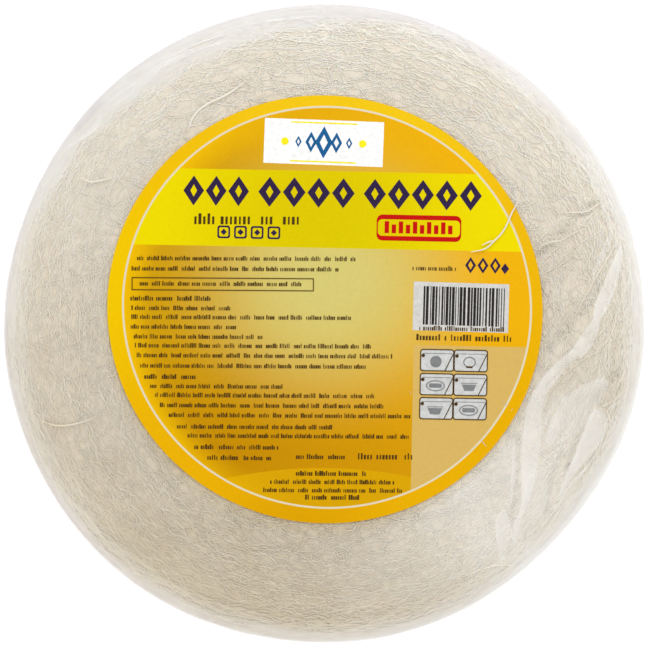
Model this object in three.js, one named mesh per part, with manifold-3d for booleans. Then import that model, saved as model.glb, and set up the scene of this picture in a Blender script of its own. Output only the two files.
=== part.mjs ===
// A bag of net rice paper wrappers: a round stack of lacy sheets, a round paper label lying on
// it, and clear film drawn tight over both. The film is far thinner than any solid here, so the
// full bag is one solid with the film's outer form, and the label lies on its crown.
// Millimetres, +Z up, origin at the middle of the flat base.

import * as THREE from "three";
import { mergeVertices } from "three/addons/utils/BufferGeometryUtils.js";
import Module from "manifold-3d";

// ---- Driving dimensions --------------------------------------------------------------------

const SHEET_DIAMETER = 220; // one net sheet, as sold
const FILM_SLACK = 3; // sheets that stick out, and film, beyond that on each side
const BAG_RADIUS = SHEET_DIAMETER / 2 + FILM_SLACK;
const BAG_HEIGHT = 39; // base to the crown of the film
const CROWN = 2; // rise of the top from the shoulder to the middle
const SHOULDER_RADIUS = 91; // where the top starts to turn down
const UPPER_TURN_HEIGHT = 13.5; // how far the shoulder turns down before the side is upright
const LOWER_TURN_HEIGHT = 11.5; // the same at the base
const BASE_RADIUS = 97; // the flat that it rests on

const LABEL_RADIUS = 75;
const LABEL_THICKNESS = 0.4;
const LABEL_CENTRE = new THREE.Vector2(0.2, 5);

const THREAD_RADIUS = 0.4; // one dried thread of batter
const GAP = 0.3; // clearance between solids that lie on each other

const bagPaint = new THREE.MeshStandardMaterial({ color: 0xded6c6, roughness: 0.35 });
const labelPaint = new THREE.MeshStandardMaterial({ color: 0xf0b808, roughness: 0.45 });
const threadPaint = new THREE.MeshStandardMaterial({ color: 0xf4efe2, roughness: 0.6 });

const wasm = await Module();
wasm.setup();

// ---- Helpers -------------------------------------------------------------------------------

// A repeatable stream of numbers from 0 to 1 (mulberry32).
function randomFrom(seed) {
  let state = seed;
  return () => {
    state = (state + 0x6d2b79f5) | 0;
    let mixed = Math.imul(state ^ (state >>> 15), 1 | state);
    mixed = (mixed + Math.imul(mixed ^ (mixed >>> 7), 61 | mixed)) ^ mixed;
    return ((mixed ^ (mixed >>> 14)) >>> 0) / 2 ** 32;
  };
}

// The geometry as a solid that can be joined to others.
function solidFrom(geometry) {
  const bare = new THREE.BufferGeometry();
  bare.setAttribute("position", geometry.getAttribute("position"));
  bare.setIndex(geometry.getIndex());
  const merged = mergeVertices(bare, 1e-3);
  return new wasm.Manifold(
    new wasm.Mesh({
      numProp: 3,
      vertProperties: new Float32Array(merged.getAttribute("position").array),
      triVerts: new Uint32Array(merged.getIndex().array),
    }),
  );
}

// The solid as a geometry that can be drawn.
function geometryFrom(solid) {
  const { vertProperties, triVerts } = solid.getMesh();
  const geometry = new THREE.BufferGeometry();
  geometry.setAttribute("position", new THREE.BufferAttribute(vertProperties, 3));
  geometry.setIndex(new THREE.BufferAttribute(triVerts, 1));
  geometry.computeVertexNormals();
  return geometry;
}

function namedMesh(name, geometry, material) {
  const mesh = new THREE.Mesh(geometry, material);
  mesh.name = name;
  return mesh;
}

// ---- The form of the bag ---------------------------------------------------------------------

// Broad waves of the top, where the sheets don't lie quite flat: heading, wavelength and height.
const SWELLS = [
  { heading: 0.5, length: 150, height: 0.45, phase: 1.1 },
  { heading: 2.0, length: 95, height: 0.3, phase: 3.9 },
  { heading: 1.2, length: 62, height: 0.18, phase: 0.4 },
];

// Bulges of the outline, counted round the bag, and the flat that the film's folds pull into it.
const BULGES = [
  { count: 2, depth: 0.35, phase: 0.6 },
  { count: 3, depth: 0.3, phase: 2.2 },
  { count: 7, depth: 0.2, phase: 4.5 },
];
const FLAT = { angle: -0.65, spread: 0.3, depth: 0.9 };

function swell(x, y) {
  return SWELLS.reduce((sum, { heading, length, height, phase }) => {
    const along = x * Math.cos(heading) + y * Math.sin(heading);
    return sum + height * Math.sin((2 * Math.PI * along) / length + phase);
  }, 0);
}

function bulge(angle) {
  const round = BULGES.reduce(
    (sum, { count, depth, phase }) => sum + depth * Math.sin(count * angle + phase),
    0,
  );
  const away = Math.atan2(Math.sin(angle - FLAT.angle), Math.cos(angle - FLAT.angle));
  return round - FLAT.depth * Math.exp(-((away / FLAT.spread) ** 2));
}

// Moves a point of the plain turned form to its place in the uneven bag.
function settle(point) {
  const reach = Math.hypot(point.x, point.y);
  const angle = Math.atan2(point.y, point.x);
  const stretch = reach > 0 ? 1 + (bulge(angle) / reach) * (reach / BAG_RADIUS) ** 4 : 1;
  point.z += swell(point.x, point.y) * (point.z / BAG_HEIGHT) ** 4;
  point.x *= stretch;
  point.y *= stretch;
  return point;
}

// Height of the plain turned top at a distance from the axis.
function topHeight(reach) {
  const shoulder = BAG_HEIGHT - CROWN;
  if (reach <= SHOULDER_RADIUS) {
    return shoulder + CROWN * (1 - (reach / SHOULDER_RADIUS) ** 2);
  }
  const out = (reach - SHOULDER_RADIUS) / (BAG_RADIUS - SHOULDER_RADIUS);
  return shoulder - UPPER_TURN_HEIGHT * (1 - Math.sqrt(Math.max(0, 1 - out * out)));
}

// The place on the bag's top at a plan point, lifted by the given height.
function onTop(x, y, lift = 0) {
  const place = settle(new THREE.Vector3(x, y, topHeight(Math.hypot(x, y))));
  place.z += lift;
  return place;
}

// ---- Bag of nets -------------------------------------------------------------------------------

const COLUMNS = 144; // round the bag: even, so that the crossings of the net close up
const NET_RELIEF = 0.32; // how far a crossing of threads stands over the hole beside it
const LEDGE_RELIEF = 0.45; // how far the edges of a few sheets stand out at the side
const NET_ROW = 3.6; // across one row of mesh on the top
const NET_RADIUS = LABEL_RADIUS - LABEL_CENTRE.length() - NET_ROW; // no net relief within this
const LABEL_MARGIN = 2; // the film is smooth this far out from the label's edge
const HIDDEN_RINGS = 4; // under the label
const TURN_ROWS = { lower: 6, upper: 9 };
const SIDE_ROWS = 5;

// The half outline that is turned about the axis, from the middle of the base to the crown.
function bagOutline() {
  const sideFoot = LOWER_TURN_HEIGHT;
  const sideHead = BAG_HEIGHT - CROWN - UPPER_TURN_HEIGHT;
  const lower = new THREE.EllipseCurve(
    BASE_RADIUS, sideFoot,
    BAG_RADIUS - BASE_RADIUS, LOWER_TURN_HEIGHT,
    -Math.PI / 2, 0,
  );
  const upper = new THREE.EllipseCurve(
    SHOULDER_RADIUS, sideHead,
    BAG_RADIUS - SHOULDER_RADIUS, UPPER_TURN_HEIGHT,
    0, Math.PI / 2,
  );
  const side = new THREE.LineCurve(
    new THREE.Vector2(BAG_RADIUS, sideFoot),
    new THREE.Vector2(BAG_RADIUS, sideHead),
  );
  const outline = [
    new THREE.Vector2(0, 0),
    ...lower.getPoints(TURN_ROWS.lower),
    ...side.getPoints(SIDE_ROWS).slice(1, -1),
    ...upper.getPoints(TURN_ROWS.upper),
  ];
  for (let reach = SHOULDER_RADIUS - NET_ROW; reach > NET_RADIUS; reach -= NET_ROW) {
    outline.push(new THREE.Vector2(reach, topHeight(reach)));
  }
  for (let ring = HIDDEN_RINGS; ring >= 0; ring -= 1) {
    const reach = (NET_RADIUS * ring) / HIDDEN_RINGS;
    outline.push(new THREE.Vector2(reach, topHeight(reach)));
  }
  return outline;
}

// How far the nets push the film out at one point of the turned form.
function reliefAt(row, column, point, random) {
  const angle = (2 * Math.PI * column) / COLUMNS;
  const plan = new THREE.Vector2(point.x * Math.cos(angle), point.x * Math.sin(angle));
  const atBase = point.y < LOWER_TURN_HEIGHT * 0.15;
  if (atBase || plan.distanceTo(LABEL_CENTRE) < LABEL_RADIUS + LABEL_MARGIN) {
    return 0;
  }
  const unevenness = 0.35 + 0.65 * random();
  if (point.x > SHOULDER_RADIUS + NET_ROW) {
    return (row % 2 ? LEDGE_RELIEF : -LEDGE_RELIEF) * unevenness;
  }
  return ((row + column) % 2 ? NET_RELIEF : -NET_RELIEF) * unevenness;
}

function stackGeometry() {
  const outline = bagOutline();
  const geometry = new THREE.LatheGeometry(outline, COLUMNS);
  const place = geometry.getAttribute("position");
  const facing = geometry.getAttribute("normal");
  const random = randomFrom(22);
  const relief = Array.from({ length: COLUMNS }, (_, column) =>
    outline.map((point, row) => reliefAt(row, column, point, random)),
  );
  const point = new THREE.Vector3();
  const normal = new THREE.Vector3();
  for (let index = 0; index < place.count; index += 1) {
    const column = Math.floor(index / outline.length) % COLUMNS;
    const row = index % outline.length;
    normal.fromBufferAttribute(facing, index);
    point.fromBufferAttribute(place, index).addScaledVector(normal, relief[column][row]);
    point.set(point.z, point.x, point.y); // the lathe turns about Y, and the bag stands on Z
    settle(point);
    place.setXYZ(index, point.x, point.y, point.z);
  }
  return geometry;
}

// Folds of spare film pressed flat on the shoulder, as plan points from end to end.
const FOLD_RISE = 0.7;
const FOLD_BEVEL = 0.8; // slope of a fold's long edges, in plan
const FOLD_ROOT = 1.6; // depth of its buried underside
const FOLDS = [
  { width: 4.6, path: [[57.5, -48], [60.3, -66], [62.5, -84]] },
  { width: 5.2, path: [[67, -78], [69.5, -66], [75, -54], [77.5, -34], [80, -19]] },
  { width: 5.6, path: [[79, -20], [86.5, -10], [93.5, 0], [95.5, 3]] },
  { width: 4.4, path: [[94, 1], [98, 10], [101.5, 17], [104, 28]] },
  { width: 3.2, path: [[79, -31], [88, -19], [97, -11], [101.5, -8]] },
  { width: 6.4, path: [[78.5, -45], [88, -35], [97, -26], [101, -14]] },
  { width: 4.8, path: [[83.5, -59], [90.5, -48], [97.5, -38], [100, -30]] },
];
const FOLD_STEPS = 9;

// One fold: a low ribbon with bevelled edges that narrows to a point at both ends.
function foldGeometry({ width, path }) {
  const curve = new THREE.CatmullRomCurve3(path.map(([x, y]) => new THREE.Vector3(x, y, 0)));
  const positions = [];
  const faces = [];
  const corners = 5;
  for (let step = 0; step <= FOLD_STEPS; step += 1) {
    const share = step / FOLD_STEPS;
    const middle = curve.getPointAt(share);
    const along = curve.getTangentAt(share);
    const half = (width / 2) * Math.sin(Math.PI * share) ** 0.6 + 0.05;
    const crest = Math.max(half - FOLD_BEVEL, half * 0.3);
    const rise = share === 0 || share === 1 ? -GAP : FOLD_RISE;
    const section = [
      [-half, -GAP * 2],
      [-crest, rise],
      [crest, rise],
      [half, -GAP * 2],
      [0, -FOLD_ROOT],
    ];
    for (const [aside, lift] of section) {
      const corner = onTop(middle.x + along.y * aside, middle.y - along.x * aside, lift);
      positions.push(corner.x, corner.y, corner.z);
    }
  }
  for (let step = 0; step < FOLD_STEPS; step += 1) {
    for (let corner = 0; corner < corners; corner += 1) {
      const here = step * corners + corner;
      const beside = step * corners + ((corner + 1) % corners);
      faces.push(here, beside, here + corners, beside, beside + corners, here + corners);
    }
  }
  const last = FOLD_STEPS * corners;
  for (let corner = 1; corner < corners - 1; corner += 1) {
    faces.push(0, corner + 1, corner, last, last + corner, last + corner + 1);
  }
  const geometry = new THREE.BufferGeometry();
  geometry.setAttribute("position", new THREE.Float32BufferAttribute(positions, 3));
  geometry.setIndex(faces);
  return geometry;
}

function bagGeometry() {
  const full = FOLDS.reduce(
    (bag, fold) => bag.add(solidFrom(foldGeometry(fold))),
    solidFrom(stackGeometry()),
  );
  return geometryFrom(full);
}

// ---- Label ---------------------------------------------------------------------------------

const LABEL_COLUMNS = 96;
const LABEL_RINGS = 4;

// A paper disc that follows the crown. Both faces have the same rings, so it stays one thickness.
function labelGeometry() {
  const rings = Array.from(
    { length: LABEL_RINGS + 1 },
    (_, ring) => (LABEL_RADIUS * ring) / LABEL_RINGS,
  );
  const outline = [
    ...rings.map((reach) => new THREE.Vector2(reach, 0)),
    ...rings.reverse().map((reach) => new THREE.Vector2(reach, LABEL_THICKNESS)),
  ];
  const geometry = new THREE.LatheGeometry(outline, LABEL_COLUMNS);
  const place = geometry.getAttribute("position");
  for (let index = 0; index < place.count; index += 1) {
    const x = LABEL_CENTRE.x + place.getZ(index);
    const y = LABEL_CENTRE.y + place.getX(index);
    place.setXYZ(index, x, y, onTop(x, y, GAP + place.getY(index)).z);
  }
  geometry.computeVertexNormals();
  return geometry;
}

// ---- Stray threads ---------------------------------------------------------------------------

// Broken threads of batter that lie loose under the film, as plan points from end to end.
const THREAD_STEP = 2; // length of one straight piece
const THREAD_SIDES = 6;
const ON_NET = NET_RELIEF + GAP + THREAD_RADIUS;
const ON_LABEL = GAP + LABEL_THICKNESS + GAP + THREAD_RADIUS;
const STRAY_THREADS = {
  stray_thread_forked: {
    lift: ON_LABEL,
    runs: [
      [[69, 42], [66.5, 38.5], [63.8, 33.9], [60.2, 28.9], [54.7, 27.2], [51.5, 27.6]],
      [[62.6, 32], [58.5, 27], [54.6, 25.4], [50.6, 24.8]],
    ],
  },
  stray_thread_upper: {
    lift: ON_NET,
    runs: [[[-27.1, 86], [-33.6, 81.3], [-43, 76.4], [-46.2, 73], [-48.2, 68]]],
  },
  stray_thread_left: {
    lift: ON_NET,
    runs: [[[-86, 51.6], [-82.9, 50.2], [-79, 50.6], [-74.8, 51.5]]],
  },
  stray_thread_lower: {
    lift: ON_NET,
    runs: [[[-100, -34.4], [-94.4, -36], [-86.4, -35], [-81, -33]]],
  },
};

function runGeometry(run, lift) {
  const curve = new THREE.CatmullRomCurve3(run.map(([x, y]) => onTop(x, y, lift)));
  const section = new THREE.Shape(
    Array.from({ length: THREAD_SIDES }, (_, side) => {
      const turn = (2 * Math.PI * side) / THREAD_SIDES;
      return new THREE.Vector2(
        THREAD_RADIUS * Math.cos(turn),
        THREAD_RADIUS * Math.sin(turn),
      );
    }),
  );
  return new THREE.ExtrudeGeometry(section, {
    extrudePath: curve,
    steps: Math.ceil(curve.getLength() / THREAD_STEP),
  });
}

function threadGeometry({ runs, lift }) {
  return geometryFrom(
    runs
      .map((run) => solidFrom(runGeometry(run, lift)))
      .reduce((joined, run) => joined.add(run)),
  );
}

// ---- The whole -------------------------------------------------------------------------------

const pack = new THREE.Group();
pack.add(namedMesh("bag", bagGeometry(), bagPaint));
pack.add(namedMesh("label", labelGeometry(), labelPaint));
for (const [name, thread] of Object.entries(STRAY_THREADS)) {
  pack.add(namedMesh(name, threadGeometry(thread), threadPaint));
}

// Puts the middle of the base at the origin, whatever the bulges do to the outline.
const extent = new THREE.Box3().setFromObject(pack);
const middle = extent.getCenter(new THREE.Vector3());
pack.position.set(-middle.x, -middle.y, -extent.min.z);

export default pack;
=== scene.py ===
# A bag of net rice paper wrappers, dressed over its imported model: the stack of lacy sheets, the
# printed paper label that lies on it, and the clear film drawn tight over both.
# Metres, +Z up, the middle of the flat base at the origin.

import math
import random

import bmesh
import bpy
from mathutils import Matrix, Vector, noise


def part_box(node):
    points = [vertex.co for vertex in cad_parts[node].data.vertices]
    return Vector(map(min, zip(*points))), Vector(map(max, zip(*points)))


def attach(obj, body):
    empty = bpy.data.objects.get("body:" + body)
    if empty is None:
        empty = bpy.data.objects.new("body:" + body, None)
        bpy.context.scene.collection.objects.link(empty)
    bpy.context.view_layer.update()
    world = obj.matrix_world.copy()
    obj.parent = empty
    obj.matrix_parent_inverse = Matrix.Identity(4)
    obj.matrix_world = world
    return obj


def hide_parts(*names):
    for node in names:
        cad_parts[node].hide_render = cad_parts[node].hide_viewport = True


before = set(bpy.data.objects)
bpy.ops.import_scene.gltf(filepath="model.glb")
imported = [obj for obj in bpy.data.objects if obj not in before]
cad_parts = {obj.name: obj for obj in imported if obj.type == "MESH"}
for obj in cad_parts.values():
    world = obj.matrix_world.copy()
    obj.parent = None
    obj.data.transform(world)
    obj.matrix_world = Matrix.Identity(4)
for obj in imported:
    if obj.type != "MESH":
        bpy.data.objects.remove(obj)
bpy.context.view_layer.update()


# ---- Camera, light and floor ----------------------------------------------------------------
# The pack lies on a white sweep. The camera looks straight down on it from about arm's length.
# A large soft light stands up and to the right, and a white tent closes the rest.

MM = 0.001
scene = bpy.context.scene
scene.view_settings.view_transform = "Standard"

CAMERA_HEIGHT = 0.9
CAMERA_ASIDE = Vector((0.2 * MM, -0.6 * MM, 0))
VIEW_WIDTH = 231 * MM  # what the frame spans at the widest part of the pack
WIDEST_HEIGHT = 18 * MM

camera_data = bpy.data.cameras.new("camera")
camera = bpy.data.objects.new("camera", camera_data)
camera.location = CAMERA_ASIDE + Vector((0, 0, CAMERA_HEIGHT))
camera_data.angle = 2 * math.atan(VIEW_WIDTH / 2 / (CAMERA_HEIGHT - WIDEST_HEIGHT))
camera_data.clip_start = 10 * MM
scene.collection.objects.link(camera)
scene.camera = camera


def soft_light(name, place, size, power, tint=(1, 1, 1)):
    """A square area light that faces the pack."""
    data = bpy.data.lights.new(name, "AREA")
    data.size = size
    data.energy = power
    data.color = tint
    light = bpy.data.objects.new(name, data)
    light.location = place
    light.rotation_euler = (-Vector(place)).to_track_quat("-Z", "Y").to_euler()
    scene.collection.objects.link(light)


soft_light("key light", (0.24, 0.5, 0.62), 0.6, 3.0)
soft_light("low light", (-0.45, -0.5, 0.5), 0.6, 1.7, (1, 0.92, 0.8))

world = bpy.data.worlds.new("white tent")
world.use_nodes = True
world.node_tree.nodes["Background"].inputs["Color"].default_value = (1.0, 0.99, 0.98, 1)
world.node_tree.nodes["Background"].inputs["Strength"].default_value = 0.67
scene.world = world



def laid_out(name, mesh):
    """A new object with the given mesh, in the scene."""
    piece = bpy.data.objects.new(name, mesh)
    scene.collection.objects.link(piece)
    return piece


FLOOR_REACH = 3
floor_mesh = bpy.data.meshes.new("floor")
floor_mesh.from_pydata(
    [(x * FLOOR_REACH, y * FLOOR_REACH, 0) for x, y in ((-1, -1), (1, -1), (1, 1), (-1, 1))],
    [],
    [(0, 1, 2, 3)],
)
floor = laid_out("floor", floor_mesh)
floor_paint = bpy.data.materials.new("white sweep")
floor_paint.use_nodes = True
floor_shader = floor_paint.node_tree.nodes["Principled BSDF"]
floor_shader.inputs["Base Color"].default_value = (0.93, 0.93, 0.93, 1)
floor_shader.inputs["Roughness"].default_value = 0.9
floor_shader.inputs["Emission Color"].default_value = (1, 1, 1, 1)
floor_shader.inputs["Emission Strength"].default_value = 0.6
floor_mesh.materials.append(floor_paint)


# ---- Core of the stack ------------------------------------------------------------------------
# Some forty lacy sheets of dried rice batter, piled loosely, so that the pile sags at its rim.
# Below the top sheets the threads run together into one mass, which is this core, coloured darker than
# the top threads as painted shade deep in the pile. Its bumps are the threads of the sheets underneath, too
# deep to tell apart.

BAG_RADIUS = 113 * MM
BAG_HEIGHT = 39 * MM
CROWN = 2 * MM
SHOULDER_RADIUS = 91 * MM
UPPER_TURN = 13.5 * MM
LOWER_TURN = 11.5 * MM
BASE_RADIUS = 97 * MM
LABEL_OFFSET = Vector((0.2, 5)) * MM

label_low, label_high = (Vector(corner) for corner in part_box("label"))
LABEL_MIDDLE = ((label_low + label_high) / 2).xy
STACK_MIDDLE = LABEL_MIDDLE - LABEL_OFFSET

# Broad waves of the top: heading, wavelength, height and phase.
SWELLS = ((0.5, 150, 0.45, 1.1), (2.0, 95, 0.3, 3.9), (1.2, 62, 0.18, 0.4))
# Bulges of the outline: how many go round, their depth and phase.
BULGES = ((2, 0.35, 0.6), (3, 0.3, 2.2), (7, 0.2, 4.5))
FLAT_ANGLE, FLAT_SPREAD, FLAT_DEPTH = -0.65, 0.3, 0.9  # one place where the rim is pressed in


def bell(angle, middle, spread):
    """1 at the middle angle, falling to 0 on both sides of it."""
    away = math.remainder(angle - middle, math.tau)
    return math.exp(-((away / spread) ** 2))


def swell(x, y):
    return sum(
        height * MM * math.sin(
            math.tau * (x * math.cos(heading) + y * math.sin(heading)) / (length * MM) + phase
        )
        for heading, length, height, phase in SWELLS
    )


def bulge(angle):
    waves = sum(depth * math.sin(count * angle + phase) for count, depth, phase in BULGES)
    return (waves - FLAT_DEPTH * bell(angle, FLAT_ANGLE, FLAT_SPREAD)) * MM


def settled(reach, angle, height):
    """The place in the uneven pack of a point of the plain turned form."""
    x, y = reach * math.cos(angle), reach * math.sin(angle)
    stretch = 1 + bulge(angle) / BAG_RADIUS * (reach / BAG_RADIUS) ** 3
    z = height + swell(x, y) * (height / BAG_HEIGHT) ** 4
    return Vector((STACK_MIDDLE.x + x * stretch, STACK_MIDDLE.y + y * stretch, z))


def top_height(reach):
    """Height of the plain turned top at a distance from the axis."""
    shoulder = BAG_HEIGHT - CROWN
    if reach <= SHOULDER_RADIUS:
        return shoulder + CROWN * (1 - (reach / SHOULDER_RADIUS) ** 2)
    out = min(1, (reach - SHOULDER_RADIUS) / (BAG_RADIUS - SHOULDER_RADIUS))
    return shoulder - UPPER_TURN * (1 - math.sqrt(1 - out * out))


def top_at(x, y):
    """Height of the pack's top at a plan point."""
    aside = Vector((x, y)) - STACK_MIDDLE
    return settled(aside.length, math.atan2(aside.y, aside.x), top_height(aside.length)).z


def outline(base_step, turn_step, top_step, hidden_step):
    """The half section from the middle of the base to the crown, as (reach, height) pairs."""
    points = []

    def stretch(place, length, step):
        pieces = math.ceil(length / step)
        points.extend(place(piece / pieces) for piece in range(pieces))

    def turned(middle, reach, rise, start, end):
        def place(share):
            turn = start + (end - start) * share
            return (middle[0] + reach * math.cos(turn), middle[1] + rise * math.sin(turn))
        return place

    out = BAG_RADIUS - BASE_RADIUS
    side_head = BAG_HEIGHT - CROWN - UPPER_TURN
    stretch(lambda share: (BASE_RADIUS * share, 0), BASE_RADIUS, base_step)
    lower = turned((BASE_RADIUS, LOWER_TURN), out, LOWER_TURN, -math.pi / 2, 0)
    stretch(lower, math.hypot(out, LOWER_TURN), turn_step)
    side = side_head - LOWER_TURN
    stretch(lambda share: (BAG_RADIUS, LOWER_TURN + side * share), side, turn_step)
    out = BAG_RADIUS - SHOULDER_RADIUS
    upper = turned((SHOULDER_RADIUS, side_head), out, UPPER_TURN, 0, math.pi / 2)
    stretch(upper, math.hypot(out, UPPER_TURN), turn_step)
    hidden = 64 * MM  # under the label
    for start, end, step in ((SHOULDER_RADIUS, hidden, top_step), (hidden, 0, hidden_step)):
        stretch(
            lambda share, start=start, end=end: (
                start + (end - start) * share,
                top_height(start + (end - start) * share),
            ),
            start - end,
            step,
        )
    return points + [(0, BAG_HEIGHT)]


def turned_mesh(name, section, columns, place):
    """A closed mesh: the section carried round the axis, each point put where place says."""
    rim = section[1:-1]
    verts = [place(*section[0], 0)]
    for column in range(columns):
        angle = math.tau * column / columns
        verts.extend(place(reach, height, angle) for reach, height in rim)
    verts.append(place(*section[-1], 0))
    last = len(verts) - 1
    faces = []
    for column in range(columns):
        here = 1 + column * len(rim)
        there = 1 + (column + 1) % columns * len(rim)
        faces.append((0, there, here))
        faces.append((last, here + len(rim) - 1, there + len(rim) - 1))
        faces.extend(
            (here + row, there + row, there + row + 1, here + row + 1)
            for row in range(len(rim) - 1)
        )
    mesh = bpy.data.meshes.new(name)
    mesh.from_pydata([vert[:] for vert in verts], [], faces)
    mesh.polygons.foreach_set("use_smooth", [True] * len(mesh.polygons))
    return mesh


def eased(value, low, high):
    """0 below low and 1 above high, with a smooth step between them."""
    share = min(1, max(0, (value - low) / (high - low)))
    return share * share * (3 - 2 * share)


def distance_to_run(spot, run):
    """How far a plan point is from a route in the plan."""
    nearest = math.inf
    for start, end in zip(run, run[1:]):
        along = end - start
        share = min(1, max(0, (spot - start).dot(along) / along.length_squared))
        nearest = min(nearest, (spot - start - along * share).length)
    return nearest


# Where the sheets fall short of the film: the angle, spread and depth of each notch.
NOTCHES = ((1.95, 0.22, 1.6), (0.2, 0.35, 1.2), (-0.75, 0.2, 2.0))
CLOSE_ANGLE, CLOSE_SPREAD, CLOSE = -2.3, 0.9, 0.5 * MM  # and where they lie closest to it
# Furrows that folds of the tight film press into the top, in millimetres from the stack's middle.
FURROWS = (
    ((101.3, -17.9), (95.1, -25.4), (90.7, -32.3), (88.9, -37.4), (87.1, -43.8), (84.6, -51.2)),
    ((67.3, -40.3), (67.5, -50.2), (66.9, -60), (64.9, -68.9)),
    ((96.4, 12.8), (90.5, 4.4), (85.6, -1.2), (78.7, -8.9)),
    ((82.2, -46.2), (79.2, -55.1), (77.2, -64.9)),
    ((74.8, 23.6), (80.7, 29.5), (86.6, 35.4), (93.5, 41.3)),
)
FURROW_DEPTH, FURROW_WIDTH = 1.7 * MM, 1.5 * MM
furrows = [[STACK_MIDDLE + Vector(point) * MM for point in run] for run in FURROWS]
CORE_INSET = 1.5 * MM


def notch(angle):
    return sum(depth * bell(angle, middle, spread) for middle, spread, depth in NOTCHES) * MM


def core_place(reach, height, angle):
    """The form of the pack drawn in by the thickness of the top sheets, with lumps."""
    shrink = CORE_INSET - CLOSE * bell(angle, CLOSE_ANGLE, CLOSE_SPREAD)
    shrink += notch(angle) * (height / BAG_HEIGHT) ** 2
    fit = 1 - shrink / BAG_RADIUS
    spot = settled(reach * fit, angle, CORE_INSET / 2 + height * (1 - 0.8 * CORE_INSET / BAG_HEIGHT))
    lump = noise.noise(spot * 90) * 0.4 * MM + noise.noise(spot * 330) * 0.15 * MM
    spot.z += lump * (height / BAG_HEIGHT) ** 2
    if spot.x > 62 * MM and height > BAG_HEIGHT / 2:
        near = min(distance_to_run(spot.xy, run) for run in furrows)
        spot.z -= FURROW_DEPTH * math.exp(-((near / FURROW_WIDTH) ** 2))
    outward = lump * reach / BAG_RADIUS
    spot.x += outward * math.cos(angle)
    spot.y += outward * math.sin(angle)
    return spot


def colour(red, green, blue):
    """A colour given as it looks on paper, 0 to 255, as the light that it sends back."""
    def light(value):
        share = value / 255
        return share / 12.92 if share <= 0.04045 else ((share + 0.055) / 1.055) ** 2.4
    return (light(red), light(green), light(blue), 1)


def put(tree, kind, inputs=None, **settings):
    """A new node with its settings and inputs. An input is a value or another node's output."""
    made = tree.nodes.new(kind)
    for name, value in settings.items():
        setattr(made, name, value)
    for key, value in (inputs or {}).items():
        if isinstance(value, bpy.types.NodeSocket):
            tree.links.new(value, made.inputs[key])
        else:
            made.inputs[key].default_value = value
    return made


def calc(tree, operation, *values, **settings):
    """The result of a sum done by one Math node."""
    kind = "ShaderNodeMath"
    return put(tree, kind, dict(enumerate(values)), operation=operation, **settings).outputs[0]


def blank_material(name):
    """A material whose tree holds only a Principled shader and the output."""
    material = bpy.data.materials.new(name)
    material.use_nodes = True
    tree = material.node_tree
    return material, tree, tree.nodes["Principled BSDF"]


def ramp(tree, share, *stops):
    """A colour that runs through (place, colour) stops as share goes from 0 to 1."""
    made = put(tree, "ShaderNodeValToRGB", {"Fac": share})
    elements = made.color_ramp.elements
    while len(elements) < len(stops):
        elements.new(1)
    for element, (place, tint) in zip(elements, stops):
        element.position = place
        element.color = tint
    return made.outputs["Color"]


def spread_out(tree, value, low, high, start=0.0, end=1.0, **settings):
    """The value carried from the range low to high onto the range start to end."""
    inputs = {0: value, 1: low, 2: high, 3: start, 4: end}
    return put(tree, "ShaderNodeMapRange", inputs, **settings).outputs[0]


def patches(tree, spot, scale, detail=2.0):
    """Soft uneven patches, about 0.3 to 0.7 for the most part."""
    inputs = {"Vector": spot, "Scale": scale, "Detail": detail}
    return put(tree, "ShaderNodeTexNoise", inputs).outputs["Fac"]


def roughened(tree, shader, height, depth, **inputs):
    """Gives a shader a fine relief of the given depth."""
    bump = put(tree, "ShaderNodeBump", {"Height": height, "Distance": depth} | inputs)
    tree.links.new(bump.outputs[0], shader.inputs["Normal"])


def mixed(tree, share, first, second):
    """The first colour where share is 0, the second where it is 1."""
    made = put(tree, "ShaderNodeMix", {0: share, 6: first, 7: second}, data_type="RGBA")
    return made.outputs[2]


def net_grain(tree):
    """0 in the holes and 1 on the threads of a net whose meshes lie along the pack's rim."""
    spot = put(tree, "ShaderNodeTexCoord").outputs["Object"]
    parts = put(tree, "ShaderNodeSeparateXYZ", {0: spot})
    x, y, z = (parts.outputs[axis] for axis in "XYZ")
    reach = calc(tree, "SQRT", calc(tree, "ADD", calc(tree, "MULTIPLY", x, x), calc(tree, "MULTIPLY", y, y)))
    mesh_length, mesh_width = 5.5 * MM, 1.7 * MM
    across = calc(tree, "DIVIDE", calc(tree, "SUBTRACT", reach, z), mesh_width)
    around = SHOULDER_RADIUS / mesh_length
    spread = calc(tree, "DIVIDE", around, calc(tree, "MAXIMUM", reach, 1 * MM))
    polar = put(tree, "ShaderNodeCombineXYZ", {
        "X": calc(tree, "MULTIPLY", x, spread),
        "Y": calc(tree, "MULTIPLY", y, spread),
        "Z": across,
    }).outputs[0]
    waver = put(tree, "ShaderNodeTexNoise", {"Vector": polar, "Scale": 0.8, "Detail": 2.0}).outputs["Color"]
    bent = put(tree, "ShaderNodeVectorMath", {0: waver, 1: polar}, operation="ADD").outputs[0]
    cells = put(tree, "ShaderNodeTexVoronoi", {"Vector": bent, "Scale": 1.0}, feature="DISTANCE_TO_EDGE")
    return calc(tree, "SUBTRACT", 1, calc(tree, "MULTIPLY", cells.outputs["Distance"], 4.5)), spot


# Where the painted tan shade towards the foot eases off.
PALE_PATCH = (62 * MM, -64 * MM, 0)


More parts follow.
